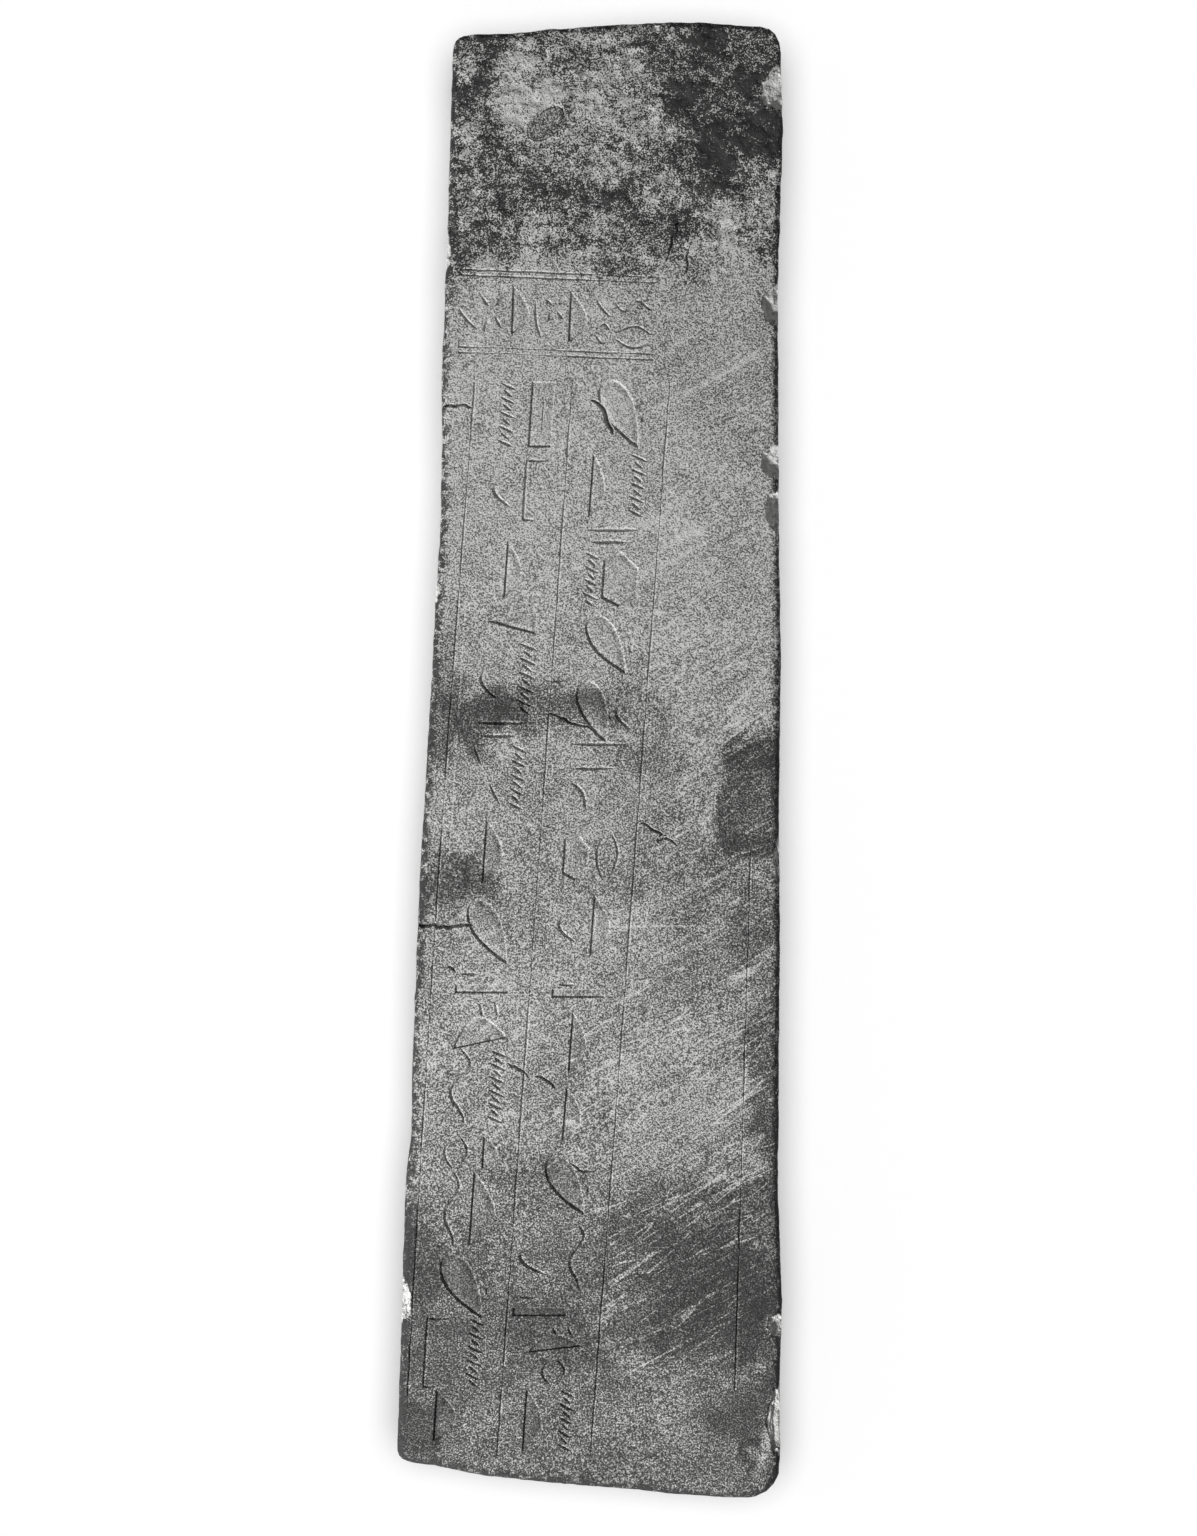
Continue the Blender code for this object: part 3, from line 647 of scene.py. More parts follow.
def stroke_tool(drawn, name, even=False, closed=False, steepness=STEEPNESS, fading=0.0):
    curve = bpy.data.curves.new(name, "CURVE")
    curve.dimensions = "3D"
    curve.twist_mode = "Z_UP"
    curve.bevel_depth = 1.0
    curve.bevel_resolution = 0
    curve.use_fill_caps = True
    for points, width in drawn:
        places = [point + wander(point, 0.3) for point in points]
        levels = TOP - face_wear(np.array([(*place, TOP) for place in places]))
        spline = curve.splines.new("POLY")
        spline.use_cyclic_u = closed
        spline.points.add(len(points) - 1)
        for number, (knot, place, level) in enumerate(zip(spline.points, places, levels)):
            share = number / (len(points) - 1)
            fullness = 1.0 if even else max(0.0, math.sin(math.pi * share)) ** 0.4
            swelling = blend(TIP_SHARE, 1.0, fullness)
            uneven = 1.0 + 0.20 * noise.noise(Vector((place.x, place.y, 0.5)) * 110)
            uneven *= 1.0 - fading * ramp(noise.noise(Vector((place.x, place.y, 0.9)) * 24), -0.10, 0.25)
            knot.co = (place.x, place.y, level + CUT_LIFT, 1.0)
            knot.radius = swelling * uneven * width / 2 + CUT_LIFT
    source = tool_object(name + "_curve", curve)
    bpy.context.view_layer.update()
    mesh = bpy.data.meshes.new_from_object(source.evaluated_get(bpy.context.evaluated_depsgraph_get()))
    bpy.data.objects.remove(source)
    shape = bmesh.new()
    shape.from_mesh(mesh)
    bmesh.ops.remove_doubles(shape, verts=shape.verts, dist=1e-5)
    bmesh.ops.scale(shape, vec=(1, 1, steepness), space=Matrix.Translation((0, 0, -TOP)), verts=shape.verts)
    bmesh.ops.recalc_face_normals(shape, faces=shape.faces)
    shape.to_mesh(mesh)
    shape.free()
    return tool_object(name, mesh)


print("strokes are", round(STROKE_WIDTH * 1000, 1), "mm wide, V sides", STEEPNESS, "steep")

# %% [markdown]
# A sunk mark has a wall and a floor. Its outline is filled, drawn down through the face, and its lower side
# sliced finely. Each point of that side is then set by its distance from the outline: deep beside the wall
# and swelling up like a low cushion inside. A fine V along the outline bevels the upper edge of the wall,
# as a carver's first cut does.

# %% Tools for sunk marks
SUNK_DEPTH = 0.0024
CUSHION_DEPTH = 0.0011
CUSHION_REACH = 0.0050
SUNK_PITCH = 0.0021
OUTLINE_WIDTH = 0.0034
CHISEL_MARKS = 0.0004


def outline_distance(points, outline):
    """How far each point is from a closed outline, seen from above."""
    nearest = np.full(len(points), 1.0)
    for start, end in zip(outline, outline[1:] + outline[:1]):
        start, along = np.array(start), np.array(end - start)
        share = np.clip((points[:, :2] - start) @ along / (along @ along), 0.0, 1.0)
        nearest = np.minimum(nearest, np.linalg.norm(points[:, :2] - start - share[:, None] * along, axis=1))
    return nearest


def sunk_shape(outline):
    """A closed cutter for one sunk mark, with a cushioned underside."""
    shape = bmesh.new()
    places = [point + wander(point, 0.3) for point in outline]
    face = shape.faces.new([shape.verts.new((point.x, point.y, TOP + CUT_LIFT)) for point in places])
    raised = bmesh.ops.extrude_face_region(shape, geom=[face])
    floor = [item for item in raised["geom"] if isinstance(item, bmesh.types.BMFace)]
    lowered = [vert for face in floor for vert in face.verts]
    bmesh.ops.translate(shape, verts=lowered, vec=(0, 0, -SUNK_DEPTH - CUT_LIFT))
    half_way = TOP - SUNK_DEPTH / 2
    for axis in (0, 1):
        normal = Vector((axis == 0, axis == 1, 0.0))
        low, high = (pick(place[axis] for place in places) for pick in (min, max))
        for step in range(1, math.ceil((high - low) / SUNK_PITCH)):
            sliced = {face for face in shape.faces if max(vert.co.z for vert in face.verts) < half_way}
            geometry = {part for face in sliced for part in (face, *face.edges, *face.verts)}
            place = normal * (low + step * SUNK_PITCH)
            bmesh.ops.bisect_plane(shape, geom=list(geometry), dist=1e-6, plane_co=place, plane_no=normal)
    floor = [vert for vert in shape.verts if vert.co.z < half_way]
    points = np.array([vert.co for vert in floor])
    rise = ramp(outline_distance(points, places), 0.0, CUSHION_REACH) * (SUNK_DEPTH - CUSHION_DEPTH)
    chisel = CHISEL_MARKS * (swell(points, 0.006, 9, 2) - 0.5)
    for vert, level in zip(floor, TOP - face_wear(points) - SUNK_DEPTH + rise + chisel):
        vert.co.z = level
    bmesh.ops.recalc_face_normals(shape, faces=shape.faces)
    return shape


def sunk_tool(outlines):
    whole = bmesh.new()
    part = bpy.data.meshes.new("sunk_part")
    for outline in outlines:
        shape = sunk_shape(outline)
        shape.to_mesh(part)
        shape.free()
        whole.from_mesh(part)
    mesh = bpy.data.meshes.new("sunk_tool")
    whole.to_mesh(mesh)
    whole.free()
    bpy.data.meshes.remove(part)
    return tool_object("sunk_tool", mesh)


tools = [
    sunk_tool(sunk_marks),
    stroke_tool([(outline, OUTLINE_WIDTH) for outline in sunk_marks], "outline_tool", even=True, closed=True),
    stroke_tool(strokes, "stroke_tool"),
    stroke_tool([(points, LINE_WIDTH) for points in ruled_lines], "line_tool", even=True, fading=LINE_FADING),
    stroke_tool(damage, "damage_tool", steepness=CRACK_STEEPNESS),
]
print("tools with", [len(tool.data.polygons) for tool in tools], "faces")

# %% [markdown]
# ## Losses
# Fresh-looking breaks sit along the two long edges. Stone breaks in shells, so each tool for a break is a
# ball with a bumpy skin, pressed half into the edge. The shallow oval dent near the head is made alike, and
# a thin groove round it gives it the sharp rim that it has on the stone.

# %% Tools for breaks and the dent
# Each break: its edge, its share of the way from foot to head, its length, its reach inward and its depth.
BREAKS = (
    ("right", 0.953, 0.050, 0.023, 0.007),
    ("right", 0.807, 0.050, 0.020, 0.010),
    ("right", 0.702, 0.036, 0.022, 0.010),
    ("right", 0.669, 0.046, 0.017, 0.013),
    ("right", 0.435, 0.050, 0.008, 0.006),
    ("right", 0.118, 0.026, 0.014, 0.008),
    ("right", 0.054, 0.076, 0.014, 0.006),
    ("left", 0.845, 0.050, 0.008, 0.005),
    ("left", 0.615, 0.028, 0.013, 0.005),
    ("left", 0.135, 0.050, 0.010, 0.006),
)
DENT_PLACE = Vector((-0.0440, 0.6370))
DENT_HALF_SIZE = (0.022, 0.012, 0.0030)
DENT_TURN = math.radians(42)
DENT_SETTING = 0.0012
DENT_RIM_WIDTH = 0.0036


def break_tool(name, centre, half_size, turn=0.0):
    """A bumpy ball, squashed to size, that breaks out what it overlaps."""
    shape = bmesh.new()
    bmesh.ops.create_icosphere(shape, subdivisions=5, radius=1.0)
    for vert in shape.verts:
        broad = noise.fractal(vert.co * 1.7 + centre * 40, 0.8, 2.0, 3, noise_basis="PERLIN_NEW")
        ragged = noise.turbulence(vert.co * 5.0 + centre * 40, 3, True)
        vert.co *= 1.0 + 0.22 * broad - 0.10 * ragged
    place = Matrix.Translation(centre) @ Matrix.Rotation(turn, 4, "Z") @ Matrix.Diagonal((*half_size, 1.0))
    bmesh.ops.transform(shape, matrix=place, verts=shape.verts)
    mesh = bpy.data.meshes.new(name)
    shape.to_mesh(mesh)
    shape.free()
    return tool_object(name, mesh)


break_places = []
for number, (edge, share, length, reach, depth) in enumerate(BREAKS):
    place = inside_edge(edge, blend(FOOT_RIGHT.y, HEAD_RIGHT.y, share), 0.0)
    break_places.append((place, reach, length / 2))
    tools.append(break_tool(f"break_tool_{number}", Vector((*place, TOP)), (reach, length / 2, depth)))
dent_rim = []
for number in range(DROP_STEPS):
    angle = 2 * math.pi * number / DROP_STEPS
    spoke = Vector((math.cos(angle) * DENT_HALF_SIZE[0], math.sin(angle) * DENT_HALF_SIZE[1]))
    dent_rim.append(DENT_PLACE + Matrix.Rotation(DENT_TURN, 2) @ spoke * 0.98)
tools.append(stroke_tool([(dent_rim, DENT_RIM_WIDTH)], "dent_rim_tool", even=True, closed=True))
dent_middle = Vector((*DENT_PLACE, TOP - DENT_SETTING))
tools.append(break_tool("dent_tool", dent_middle, DENT_HALF_SIZE, DENT_TURN))
print(len(tools), "tools in all")

# %% [markdown]
# Now the worn blank becomes an object and every tool cuts it in turn. The modifiers are applied at once and
# the tools are removed. Where two tools cross, thin crumbs of stone can be left loose, so we keep the
# largest body and delete the rest: one plain closed mesh. Edges sharper than about forty degrees stay
# crisp, and the rest is shaded smooth.

# %% Cut the face
SHARP_FROM = math.radians(38)


def without_crumbs(mesh):
    """Deletes every loose body of a mesh but the largest."""
    shape = bmesh.new()
    shape.from_mesh(mesh)
    left, bodies = set(shape.verts), []
    while left:
        body, waiting = set(), [next(iter(left))]
        while waiting:
            vert = waiting.pop()
            if vert in left:
                left.remove(vert)
                body.add(vert)
                waiting.extend(edge.other_vert(vert) for edge in vert.link_edges)
        bodies.append(body)
    largest = max(bodies, key=len)
    crumbs = [vert for vert in shape.verts if vert not in largest]
    bmesh.ops.delete(shape, geom=crumbs, context="VERTS")
    shape.to_mesh(mesh)
    shape.free()
    print("deleted", len(bodies) - 1, "crumbs of", len(crumbs), "points")


def finished_slab(shape, tools):
    mesh = bpy.data.meshes.new("worn_inscribed_slab")
    shape.to_mesh(mesh)
    shape.free()
    slab = tool_object("worn_inscribed_slab", mesh)
    for tool in tools:
        modifier = slab.modifiers.new(tool.name, "BOOLEAN")
        modifier.operation = "DIFFERENCE"
        modifier.solver = "MANIFOLD"
        modifier.object = tool
    bpy.context.view_layer.update()
    cut = bpy.data.meshes.new_from_object(slab.evaluated_get(bpy.context.evaluated_depsgraph_get()))
    slab.modifiers.clear()
    slab.data = cut
    for tool in tools:
        bpy.data.objects.remove(tool)
    without_crumbs(cut)
    cut.shade_smooth()
    cut.set_sharp_from_angle(angle=SHARP_FROM)
    return slab


slab = finished_slab(blank, tools)
triangles = sum(len(polygon.vertices) - 2 for polygon in slab.data.polygons)
print("cut slab of", len(slab.data.polygons), "faces,", triangles, "triangles")

# %% [markdown]
# ## Stains, fresh breaks, painted shade and a painted highlight, on the points
# The tone of the face is patchy: nearly black at the upper right, pale in the middle of the head, darker
# along the right edge and towards the foot. Such patches have places, not a pattern, so they are soft
# ellipses in metres on the face, and noise bends their borders. What is stored on each point is a tone from
# 0, pale, to 1, nearly black; the dark of the dent in it is painted shade. Other numbers on the points say
# where the head's ragged mottling lies and which points lie in a sunk mark or in a fresh break. Two of them
# carry painted light: the darkening near the rim is partly painted shade, and the lightening in grooves is
# a painted highlight.

# %% Where the stains lie
# Each patch: x, y, half width, half height, turn in degrees, and the tone that it adds.
PATCHES = (
    (0.125, 0.660, 0.047, 0.082, 0, 0.75),
    (0.110, 0.592, 0.032, 0.050, -10, 0.60),
    (0.092, 0.700, 0.040, 0.026, 0, 0.45),
    (0.168, 0.705, 0.030, 0.028, 0, 0.55),
    (0.176, 0.620, 0.018, 0.034, 0, 0.60),
    (-0.107, 0.672, 0.030, 0.058, 5, 0.40),
    (0.022, 0.700, 0.036, 0.011, 0, 0.40),
    (-0.060, 0.706, 0.064, 0.011, 6, 0.35),
    (-0.035, 0.586, 0.030, 0.018, 25, 0.42),
    (0.012, 0.570, 0.030, 0.017, 0, 0.40),
    (0.000, 0.620, 0.022, 0.015, 0, 0.25),
    (-0.078, 0.548, 0.026, 0.018, 0, 0.28),
    (-0.122, 0.520, 0.030, 0.026, 15, 0.42),
    (-0.133, 0.600, 0.012, 0.022, 0, 0.40),
    (0.050, 0.552, 0.066, 0.014, -8, 0.25),
    (0.080, 0.515, 0.022, 0.026, 0, 0.25),
    (-0.110, 0.040, 0.030, 0.028, 0, 0.66),
    (-0.030, 0.052, 0.070, 0.024, 12, 0.46),
    (0.085, -0.060, 0.050, 0.075, 0, 0.10),
    (0.115, -0.190, 0.052, 0.062, 0, 0.10),
    (0.056, 0.022, 0.026, 0.054, 0, 0.25),
    (-0.147, 0.055, 0.019, 0.066, 0, 0.38),
    (0.165, 0.010, 0.032, 0.020, 0, 0.20),
    (-0.145, -0.125, 0.036, 0.030, 0, 0.46),
    (-0.108, -0.133, 0.018, 0.015, 0, 0.35),
    (0.046, -0.115, 0.018, 0.030, 0, 0.20),
    (0.170, -0.165, 0.022, 0.040, 0, 0.28),
    (0.176, -0.330, 0.020, 0.105, 0, 0.48),
    (0.160, -0.445, 0.038, 0.038, 0, 0.32),
    (0.115, -0.530, 0.060, 0.064, 0, 0.42),
    (0.170, -0.580, 0.022, 0.070, 0, 0.35),
    (0.070, -0.455, 0.060, 0.030, 25, 0.22),
    (-0.065, -0.412, 0.046, 0.016, 0, 0.20),
    (-0.170, -0.495, 0.020, 0.042, 0, 0.28),
    (-0.160, -0.585, 0.042, 0.042, 0, 0.16),
    (-0.030, -0.580, 0.070, 0.046, 0, 0.14),
    (-0.172, -0.672, 0.022, 0.030, 0, 0.38),
    (0.145, -0.665, 0.026, 0.024, 0, 0.28),
    (-0.060, 0.668, 0.034, 0.040, 0, -0.40),
    (-0.022, 0.672, 0.036, 0.036, 0, -0.22),
    (-0.132, 0.655, 0.016, 0.060, 0, -0.16),
    (0.040, 0.732, 0.060, 0.008, 0, -0.15),
    (0.168, -0.603, 0.012, 0.016, 0, -0.25),
    (0.179, -0.690, 0.009, 0.030, 0, -0.45),
    (0.168, -0.703, 0.009, 0.022, 0, 0.55),
    (0.180, -0.560, 0.008, 0.012, 0, -0.40),
    (0.122, -0.040, 0.006, 0.062, 0, -0.20),
    (0.066, 0.650, 0.036, 0.044, 0, -0.22),
    (0.155, 0.535, 0.038, 0.044, 0, -0.14),
    (-0.070, 0.512, 0.026, 0.016, 0, -0.14),
    (-0.020, 0.290, 0.130, 0.150, 0, -0.12),
    (-0.055, 0.420, 0.100, 0.090, 0, -0.17),
    (0.110, 0.160, 0.060, 0.110, 0, -0.08),
    (0.010, -0.190, 0.070, 0.055, 0, -0.08),
    (0.090, -0.330, 0.080, 0.055, 20, -0.05),
    (0.043, -0.297, 0.024, 0.018, 0, -0.16),
    (0.070, -0.630, 0.060, 0.034, 0, -0.12),
    (-0.090, -0.250, 0.070, 0.070, 0, -0.10),
)
SQUARE_PATCHES = (
    (0.160, -0.038, 0.032, 0.058, 0, 0.44),
    (0.152, -0.105, 0.034, 0.030, 0, 0.12),
)
SCORED_PATCHES = (
    (0.100, -0.360, 0.120, 0.250, 0, 0.90),
    (0.130, 0.120, 0.080, 0.300, 0, 0.50),
    (-0.040, -0.300, 0.110, 0.110, 0, 0.45),
)
print(len(PATCHES) + len(SQUARE_PATCHES), "stains and", len(SCORED_PATCHES), "scored areas")

# %% [markdown]
# A few helpers turn such a list into numbers on points. One gives the strength of a single patch, one adds
# a list of them up, one moves the points about by noise so that borders wander, one finds the points inside
# a sunk mark, and the last stores the result on the mesh, where a material can read it by name.

# %% Helpers for painting
BORDER_WANDER = 0.022


def soft_patch(points, x, y, half_width, half_height, turn, roundness, border):
    """1 at the middle of an ellipse or rounded square on the face, fading to 0 past its rim."""
    cosine, sine = math.cos(math.radians(turn)), math.sin(math.radians(turn))
    dx, dy = points[:, 0] - x, points[:, 1] - y
    across = (dx * cosine + dy * sine) / half_width
    along = (dy * cosine - dx * sine) / half_height
    reach = (np.abs(across) ** roundness + np.abs(along) ** roundness) ** (1 / roundness)
    return ramp(reach, 1.0 + border, 1.0 - 1.3 * border)


def patches(points, drawn, roundness=2, border=0.33):
    return sum(strength * soft_patch(points, *place, roundness, border) for *place, strength in drawn)


def bent(points):
    """The points moved sideways by noise, so that what is painted on them gets wandering borders."""
    moved = points.copy()
    for axis in (0, 1):
        moved[:, axis] += BORDER_WANDER * (swell(points, 0.045, 20 + axis, 4) - 0.5) * 2
    return moved


def inside(points, outline):
    """Which points lie within a closed outline, seen from above."""
    crossings = np.zeros(len(points), dtype=int)
    for start, end in zip(outline, outline[1:] + outline[:1]):
        if start.y != end.y:
            between_ends = (points[:, 1] < start.y) != (points[:, 1] < end.y)
            x = start.x + (points[:, 1] - start.y) * (end.x - start.x) / (end.y - start.y)
            crossings += between_ends & (points[:, 0] < x)
    return crossings % 2 == 1


def paint(mesh, name, values):
    attribute = mesh.attributes.new(name, "FLOAT", "POINT")
    attribute.data.foreach_set("value", np.clip(values, 0.0, 1.0).astype(np.float32))


print("borders wander by up to", BORDER_WANDER * 1000, "mm")

# %% [markdown]
# The tone is built up as stains build up on the stone: an even base, then more towards the foot, on the head
# and on the sides, and the patches last. The dent's floor is painted an even grey with a darker rim, as
# painted shade of the hollow. A groove, a sunk mark and a break are found by how far their points lie under
# the worn face.

# %% Paint the points
PATCH_STRENGTH = 0.78
EVEN_TONE = 0.18
MIDDLE_TONE = 0.12
FOOT_TONE = 0.25
HEAD_TONE = 0.23
SIDE_TONE = 0.16
LEAST_TONE = 0.08
DENT_SHADE = 0.50
DENT_RIM_SHADE = 0.30
RIM_REACH_LEFT, RIM_REACH_RIGHT, RIM_FULL = 0.0120, 0.0085, 0.0020
LEAST_DEPTH = 0.0006

mesh = slab.data
points = np.empty(len(mesh.vertices) * 3, dtype=np.float32)
mesh.vertices.foreach_get("co", points)
points = points.reshape(-1, 3).astype(float)
face_points = bent(points)
on_face = ramp(points[:, 2], TOP - 0.030, TOP - 0.008)
head_part = ramp(face_points[:, 1], 0.46, 0.52)
tone = EVEN_TONE + HEAD_TONE * head_part + SIDE_TONE * (1 - on_face)
tone += MIDDLE_TONE * ramp(points[:, 1], 0.14, -0.16) + FOOT_TONE * ramp(points[:, 1], -0.36, -0.52)
tone += PATCH_STRENGTH * patches(face_points, PATCHES) * on_face
tone += patches(points + (face_points - points) * 0.25, SQUARE_PATCHES, 6, 0.06) * on_face
dent_width, dent_height = DENT_HALF_SIZE[:2]
dent_turn = math.degrees(DENT_TURN)
in_dent = soft_patch(points, *DENT_PLACE, dent_width, dent_height, dent_turn, 2, 0.12)
well_in = soft_patch(points, *DENT_PLACE, dent_width * 0.9, dent_height * 0.85, dent_turn, 2, 0.06)
# Painted shade: the dent's floor is painted darker and its rim darker still, standing in for the shade of the
# hollow.
tone = np.maximum(tone, DENT_SHADE * in_dent + DENT_RIM_SHADE * (in_dent - well_in))
paint(mesh, "tone", np.maximum(tone, LEAST_TONE))
paint(mesh, "ragged", head_part * (1 - 0.9 * in_dent))
# Painted shade in part: the face is painted darker near its edges, wider on the left. Along the right edge
# this stands in for shade on the arris that faces away from the key lamp.
near_rim = rim_distance(points + (face_points - points) * 0.1)
at_arris = ramp(points[:, 2], TOP - 0.016, TOP - 0.005)
rim_reach = np.where(points[:, 0] < 0.0, RIM_REACH_LEFT, RIM_REACH_RIGHT)
paint(mesh, "rim", ramp(near_rim, rim_reach, RIM_FULL) * at_arris)
paint(mesh, "scored", (0.25 + patches(face_points, SCORED_PATCHES)) * on_face)
fresh = np.zeros(len(points))
for place, reach, half_length in break_places:
    near = np.hypot((points[:, 0] - place.x) / reach, (points[:, 1] - place.y) / half_length)
    fresh = np.maximum(fresh, ramp(near, 1.15, 0.85) * (points[:, 2] > TOP - 0.016))
under_face = TOP - face_wear(points) - points[:, 2]
paint(mesh, "fresh", fresh * ramp(under_face, LEAST_DEPTH, 0.0016))
depth = ramp(under_face, LEAST_DEPTH, 0.0014) * on_face * (near_rim > 0.008)
in_mark = np.zeros(len(points), dtype=bool)
for outline in sunk_marks:
    in_mark |= inside(points, outline)
paint(mesh, "sunk", depth * in_mark)
# Painted highlight: points in a groove are painted lighter in the stone material, so that a groove's lit wall
# reads brighter.
paint(mesh, "groove", depth * ~in_mark)
print("painted", len(points), "points")

# %% [markdown]
# ## The stone
# A material is a tree of nodes, and building one by hand in code repeats the same few steps. So we first
# write a helper for each: a new group, a noise, a sum, and a stretch of values from one range to another.

# %% Helpers for nodes
def new_group(name, inputs, outputs):
    group = bpy.data.node_groups.new(name, "ShaderNodeTree")
    for label, kind, value in inputs:
        socket = group.interface.new_socket(label, in_out="INPUT", socket_type=kind)
        if value is not None:
            socket.default_value = value
    for label, kind in outputs:
        group.interface.new_socket(label, in_out="OUTPUT", socket_type=kind)
    return group, group.nodes.new("NodeGroupInput"), group.nodes.new("NodeGroupOutput")


def noise_node(tree, vector, scale, detail=3.0, roughness=0.6, distortion=0.0):
    node = tree.nodes.new("ShaderNodeTexNoise")
    node.inputs["Scale"].default_value = scale
    node.inputs["Detail"].default_value = detail
    node.inputs["Roughness"].default_value = roughness
    node.inputs["Distortion"].default_value = distortion
    tree.links.new(vector, node.inputs["Vector"])
    return node.outputs["Fac"]


def math_node(tree, operation, *values):
    node = tree.nodes.new("ShaderNodeMath")
    node.operation = operation
    for socket, value in zip(node.inputs, values):
        if isinstance(value, (int, float)):
            socket.default_value = value
        else:
            tree.links.new(value, socket)
    return node.outputs[0]


def added(tree, *parts):
    """The sum of several values, each with its weight."""
    total = math_node(tree, "MULTIPLY", *parts[0])
    for value, weight in parts[1:]:
        total = math_node(tree, "ADD", total, math_node(tree, "MULTIPLY", value, weight))
    return total


def between(tree, value, low, high, new_low=0.0, new_high=1.0):
    """Stretches a value from one range to another, and holds it there."""
    node = tree.nodes.new("ShaderNodeMapRange")
    node.interpolation_type = "SMOOTHSTEP"
    for label, number in (("From Min", low), ("From Max", high), ("To Min", new_low), ("To Max", new_high)):
        node.inputs[label].default_value = number
    tree.links.new(value, node.inputs["Value"])
    return node.outputs["Result"]


print("helpers for nodes are ready")

# %% [markdown]
# Old hard stone looks speckled from close by: light and dark grains a millimetre or two across, each a tiny
# pit or crystal. The grain is a node group of its own, because the stone's colour, its gloss and its relief
# all use it. It takes a place on the stone and gives three masks: fine specks, larger clots and broad clouds.

# %% Grain node group
def grain_group():
    group, given, result = new_group(
        "stone_grain",
        [("Vector", "NodeSocketVector", None)],
        [("Specks", "NodeSocketFloat"), ("Clots", "NodeSocketFloat"), ("Clouds", "NodeSocketFloat")],
    )
    place = given.outputs["Vector"]
    coarse = between(group, noise_node(group, place, 600, 0.0), 0.32, 0.68)
    small = between(group, noise_node(group, place, 1200, 0.0), 0.32, 0.68)
    specks = added(group, (coarse, 0.55), (small, 0.45))
    clots = between(group, noise_node(group, place, 130, 2.0, 0.6), 0.39, 0.61)
    clouds = between(group, noise_node(group, place, 26, 5.0, 0.65, 0.4), 0.41, 0.59)
    for label, value in (("Specks", specks), ("Clots", clots), ("Clouds", clouds)):
        group.links.new(value, result.inputs[label])
    return group


grain = grain_group()
print("grain group with", len(grain.nodes), "nodes")

# %% [markdown]
# Long use has scored the right-hand side of the face with fine slanting scratches. Noise that is stretched
# along one direction and squeezed across it gives such lines. One group makes them at any angle, so two
# directions can be laid over each other. A second group draws a single straight scratch in its place.

# %% Scratch node group
def scratch_group():
    group, given, result = new_group(
        "slanting_scratches",
        [("Vector", "NodeSocketVector", None), ("Angle", "NodeSocketFloat", 0.5)],
        [("Smears", "NodeSocketFloat"), ("Lines", "NodeSocketFloat"), ("Threads", "NodeSocketFloat")],
    )
    turn = group.nodes.new("ShaderNodeVectorRotate")
    turn.rotation_type = "Z_AXIS"
    group.links.new(given.outputs["Vector"], turn.inputs["Vector"])
    group.links.new(given.outputs["Angle"], turn.inputs["Angle"])
    kinds = (("Smears", 5.0, 150.0, 0.40, 0.64), ("Lines", 8.0, 330.0, 0.53, 0.62))
    for label, along, across, low, high in kinds:
        stretch = group.nodes.new("ShaderNodeVectorMath")
        stretch.operation = "MULTIPLY"
        stretch.inputs[1].default_value = (along, across, 6.0)
        group.links.new(turn.outputs["Vector"], stretch.inputs[0])
        lines = between(group, noise_node(group, stretch.outputs[0], 1.0, 2.0, 0.5), low, high)
        group.links.new(lines, result.inputs[label])
    stretch = group.nodes.new("ShaderNodeVectorMath")
    stretch.operation = "MULTIPLY"
    stretch.inputs[1].default_value = (7.0, 85.0, 4.0)
    group.links.new(turn.outputs["Vector"], stretch.inputs[0])
    middling = math_node(group, "SUBTRACT", noise_node(group, stretch.outputs[0], 1.0, 0.0), 0.5)
    crest = math_node(group, "ABSOLUTE", middling)
    broken = between(group, noise_node(group, turn.outputs["Vector"], 38.0, 1.0), 0.42, 0.56)
    threads = math_node(group, "MULTIPLY", between(group, crest, 0.018, 0.003), broken)
    group.links.new(threads, result.inputs["Threads"])
    return group


def one_scratch_group():
    """The mask of one straight scratch, from its middle, its angle and half its size."""
    numbers = [(label, "NodeSocketFloat", 0.0) for label in ("X", "Y", "Angle", "Half Length", "Half Width")]
    group, given, result = new_group(
        "one_scratch", [("Vector", "NodeSocketVector", None)] + numbers, [("Mask", "NodeSocketFloat")],
    )
    middle = group.nodes.new("ShaderNodeCombineXYZ")
    group.links.new(given.outputs["X"], middle.inputs["X"])
    group.links.new(given.outputs["Y"], middle.inputs["Y"])
    turn = group.nodes.new("ShaderNodeVectorRotate")
    turn.rotation_type = "Z_AXIS"
    turn.invert = True
    group.links.new(given.outputs["Vector"], turn.inputs["Vector"])
    group.links.new(middle.outputs["Vector"], turn.inputs["Center"])
    group.links.new(given.outputs["Angle"], turn.inputs["Angle"])
    place = group.nodes.new("ShaderNodeSeparateXYZ")
    group.links.new(turn.outputs["Vector"], place.inputs[0])
    along, across = (math_node(group, "SUBTRACT", place.outputs[axis], given.outputs[axis]) for axis in "XY")
    along, across = (math_node(group, "ABSOLUTE", distance) for distance in (along, across))
    end = between(group, math_node(group, "SUBTRACT", given.outputs["Half Length"], along), 0.0, 0.012)
    side = between(group, math_node(group, "DIVIDE", across, given.outputs["Half Width"]), 1.0, 0.3)
    group.links.new(math_node(group, "MULTIPLY", end, side), result.inputs["Mask"])
    return group


scratches, one_scratch = scratch_group(), one_scratch_group()
print("scratch groups with", len(scratches.nodes), "and", len(one_scratch.nodes), "nodes")

# %% [markdown]
# Some scratches are long enough to be seen one by one. Each is listed by its two ends in metres. Two of them
# run just beside a ruled line, so they are measured from that line.

# %% Single scratches
def beside(line, first, last):
    """The ends of a scratch just right of a ruled line, from one share of its length to another."""
    return [blend(*line, share) + Vector((0.0053, 0.0)) for share in (first, last)]


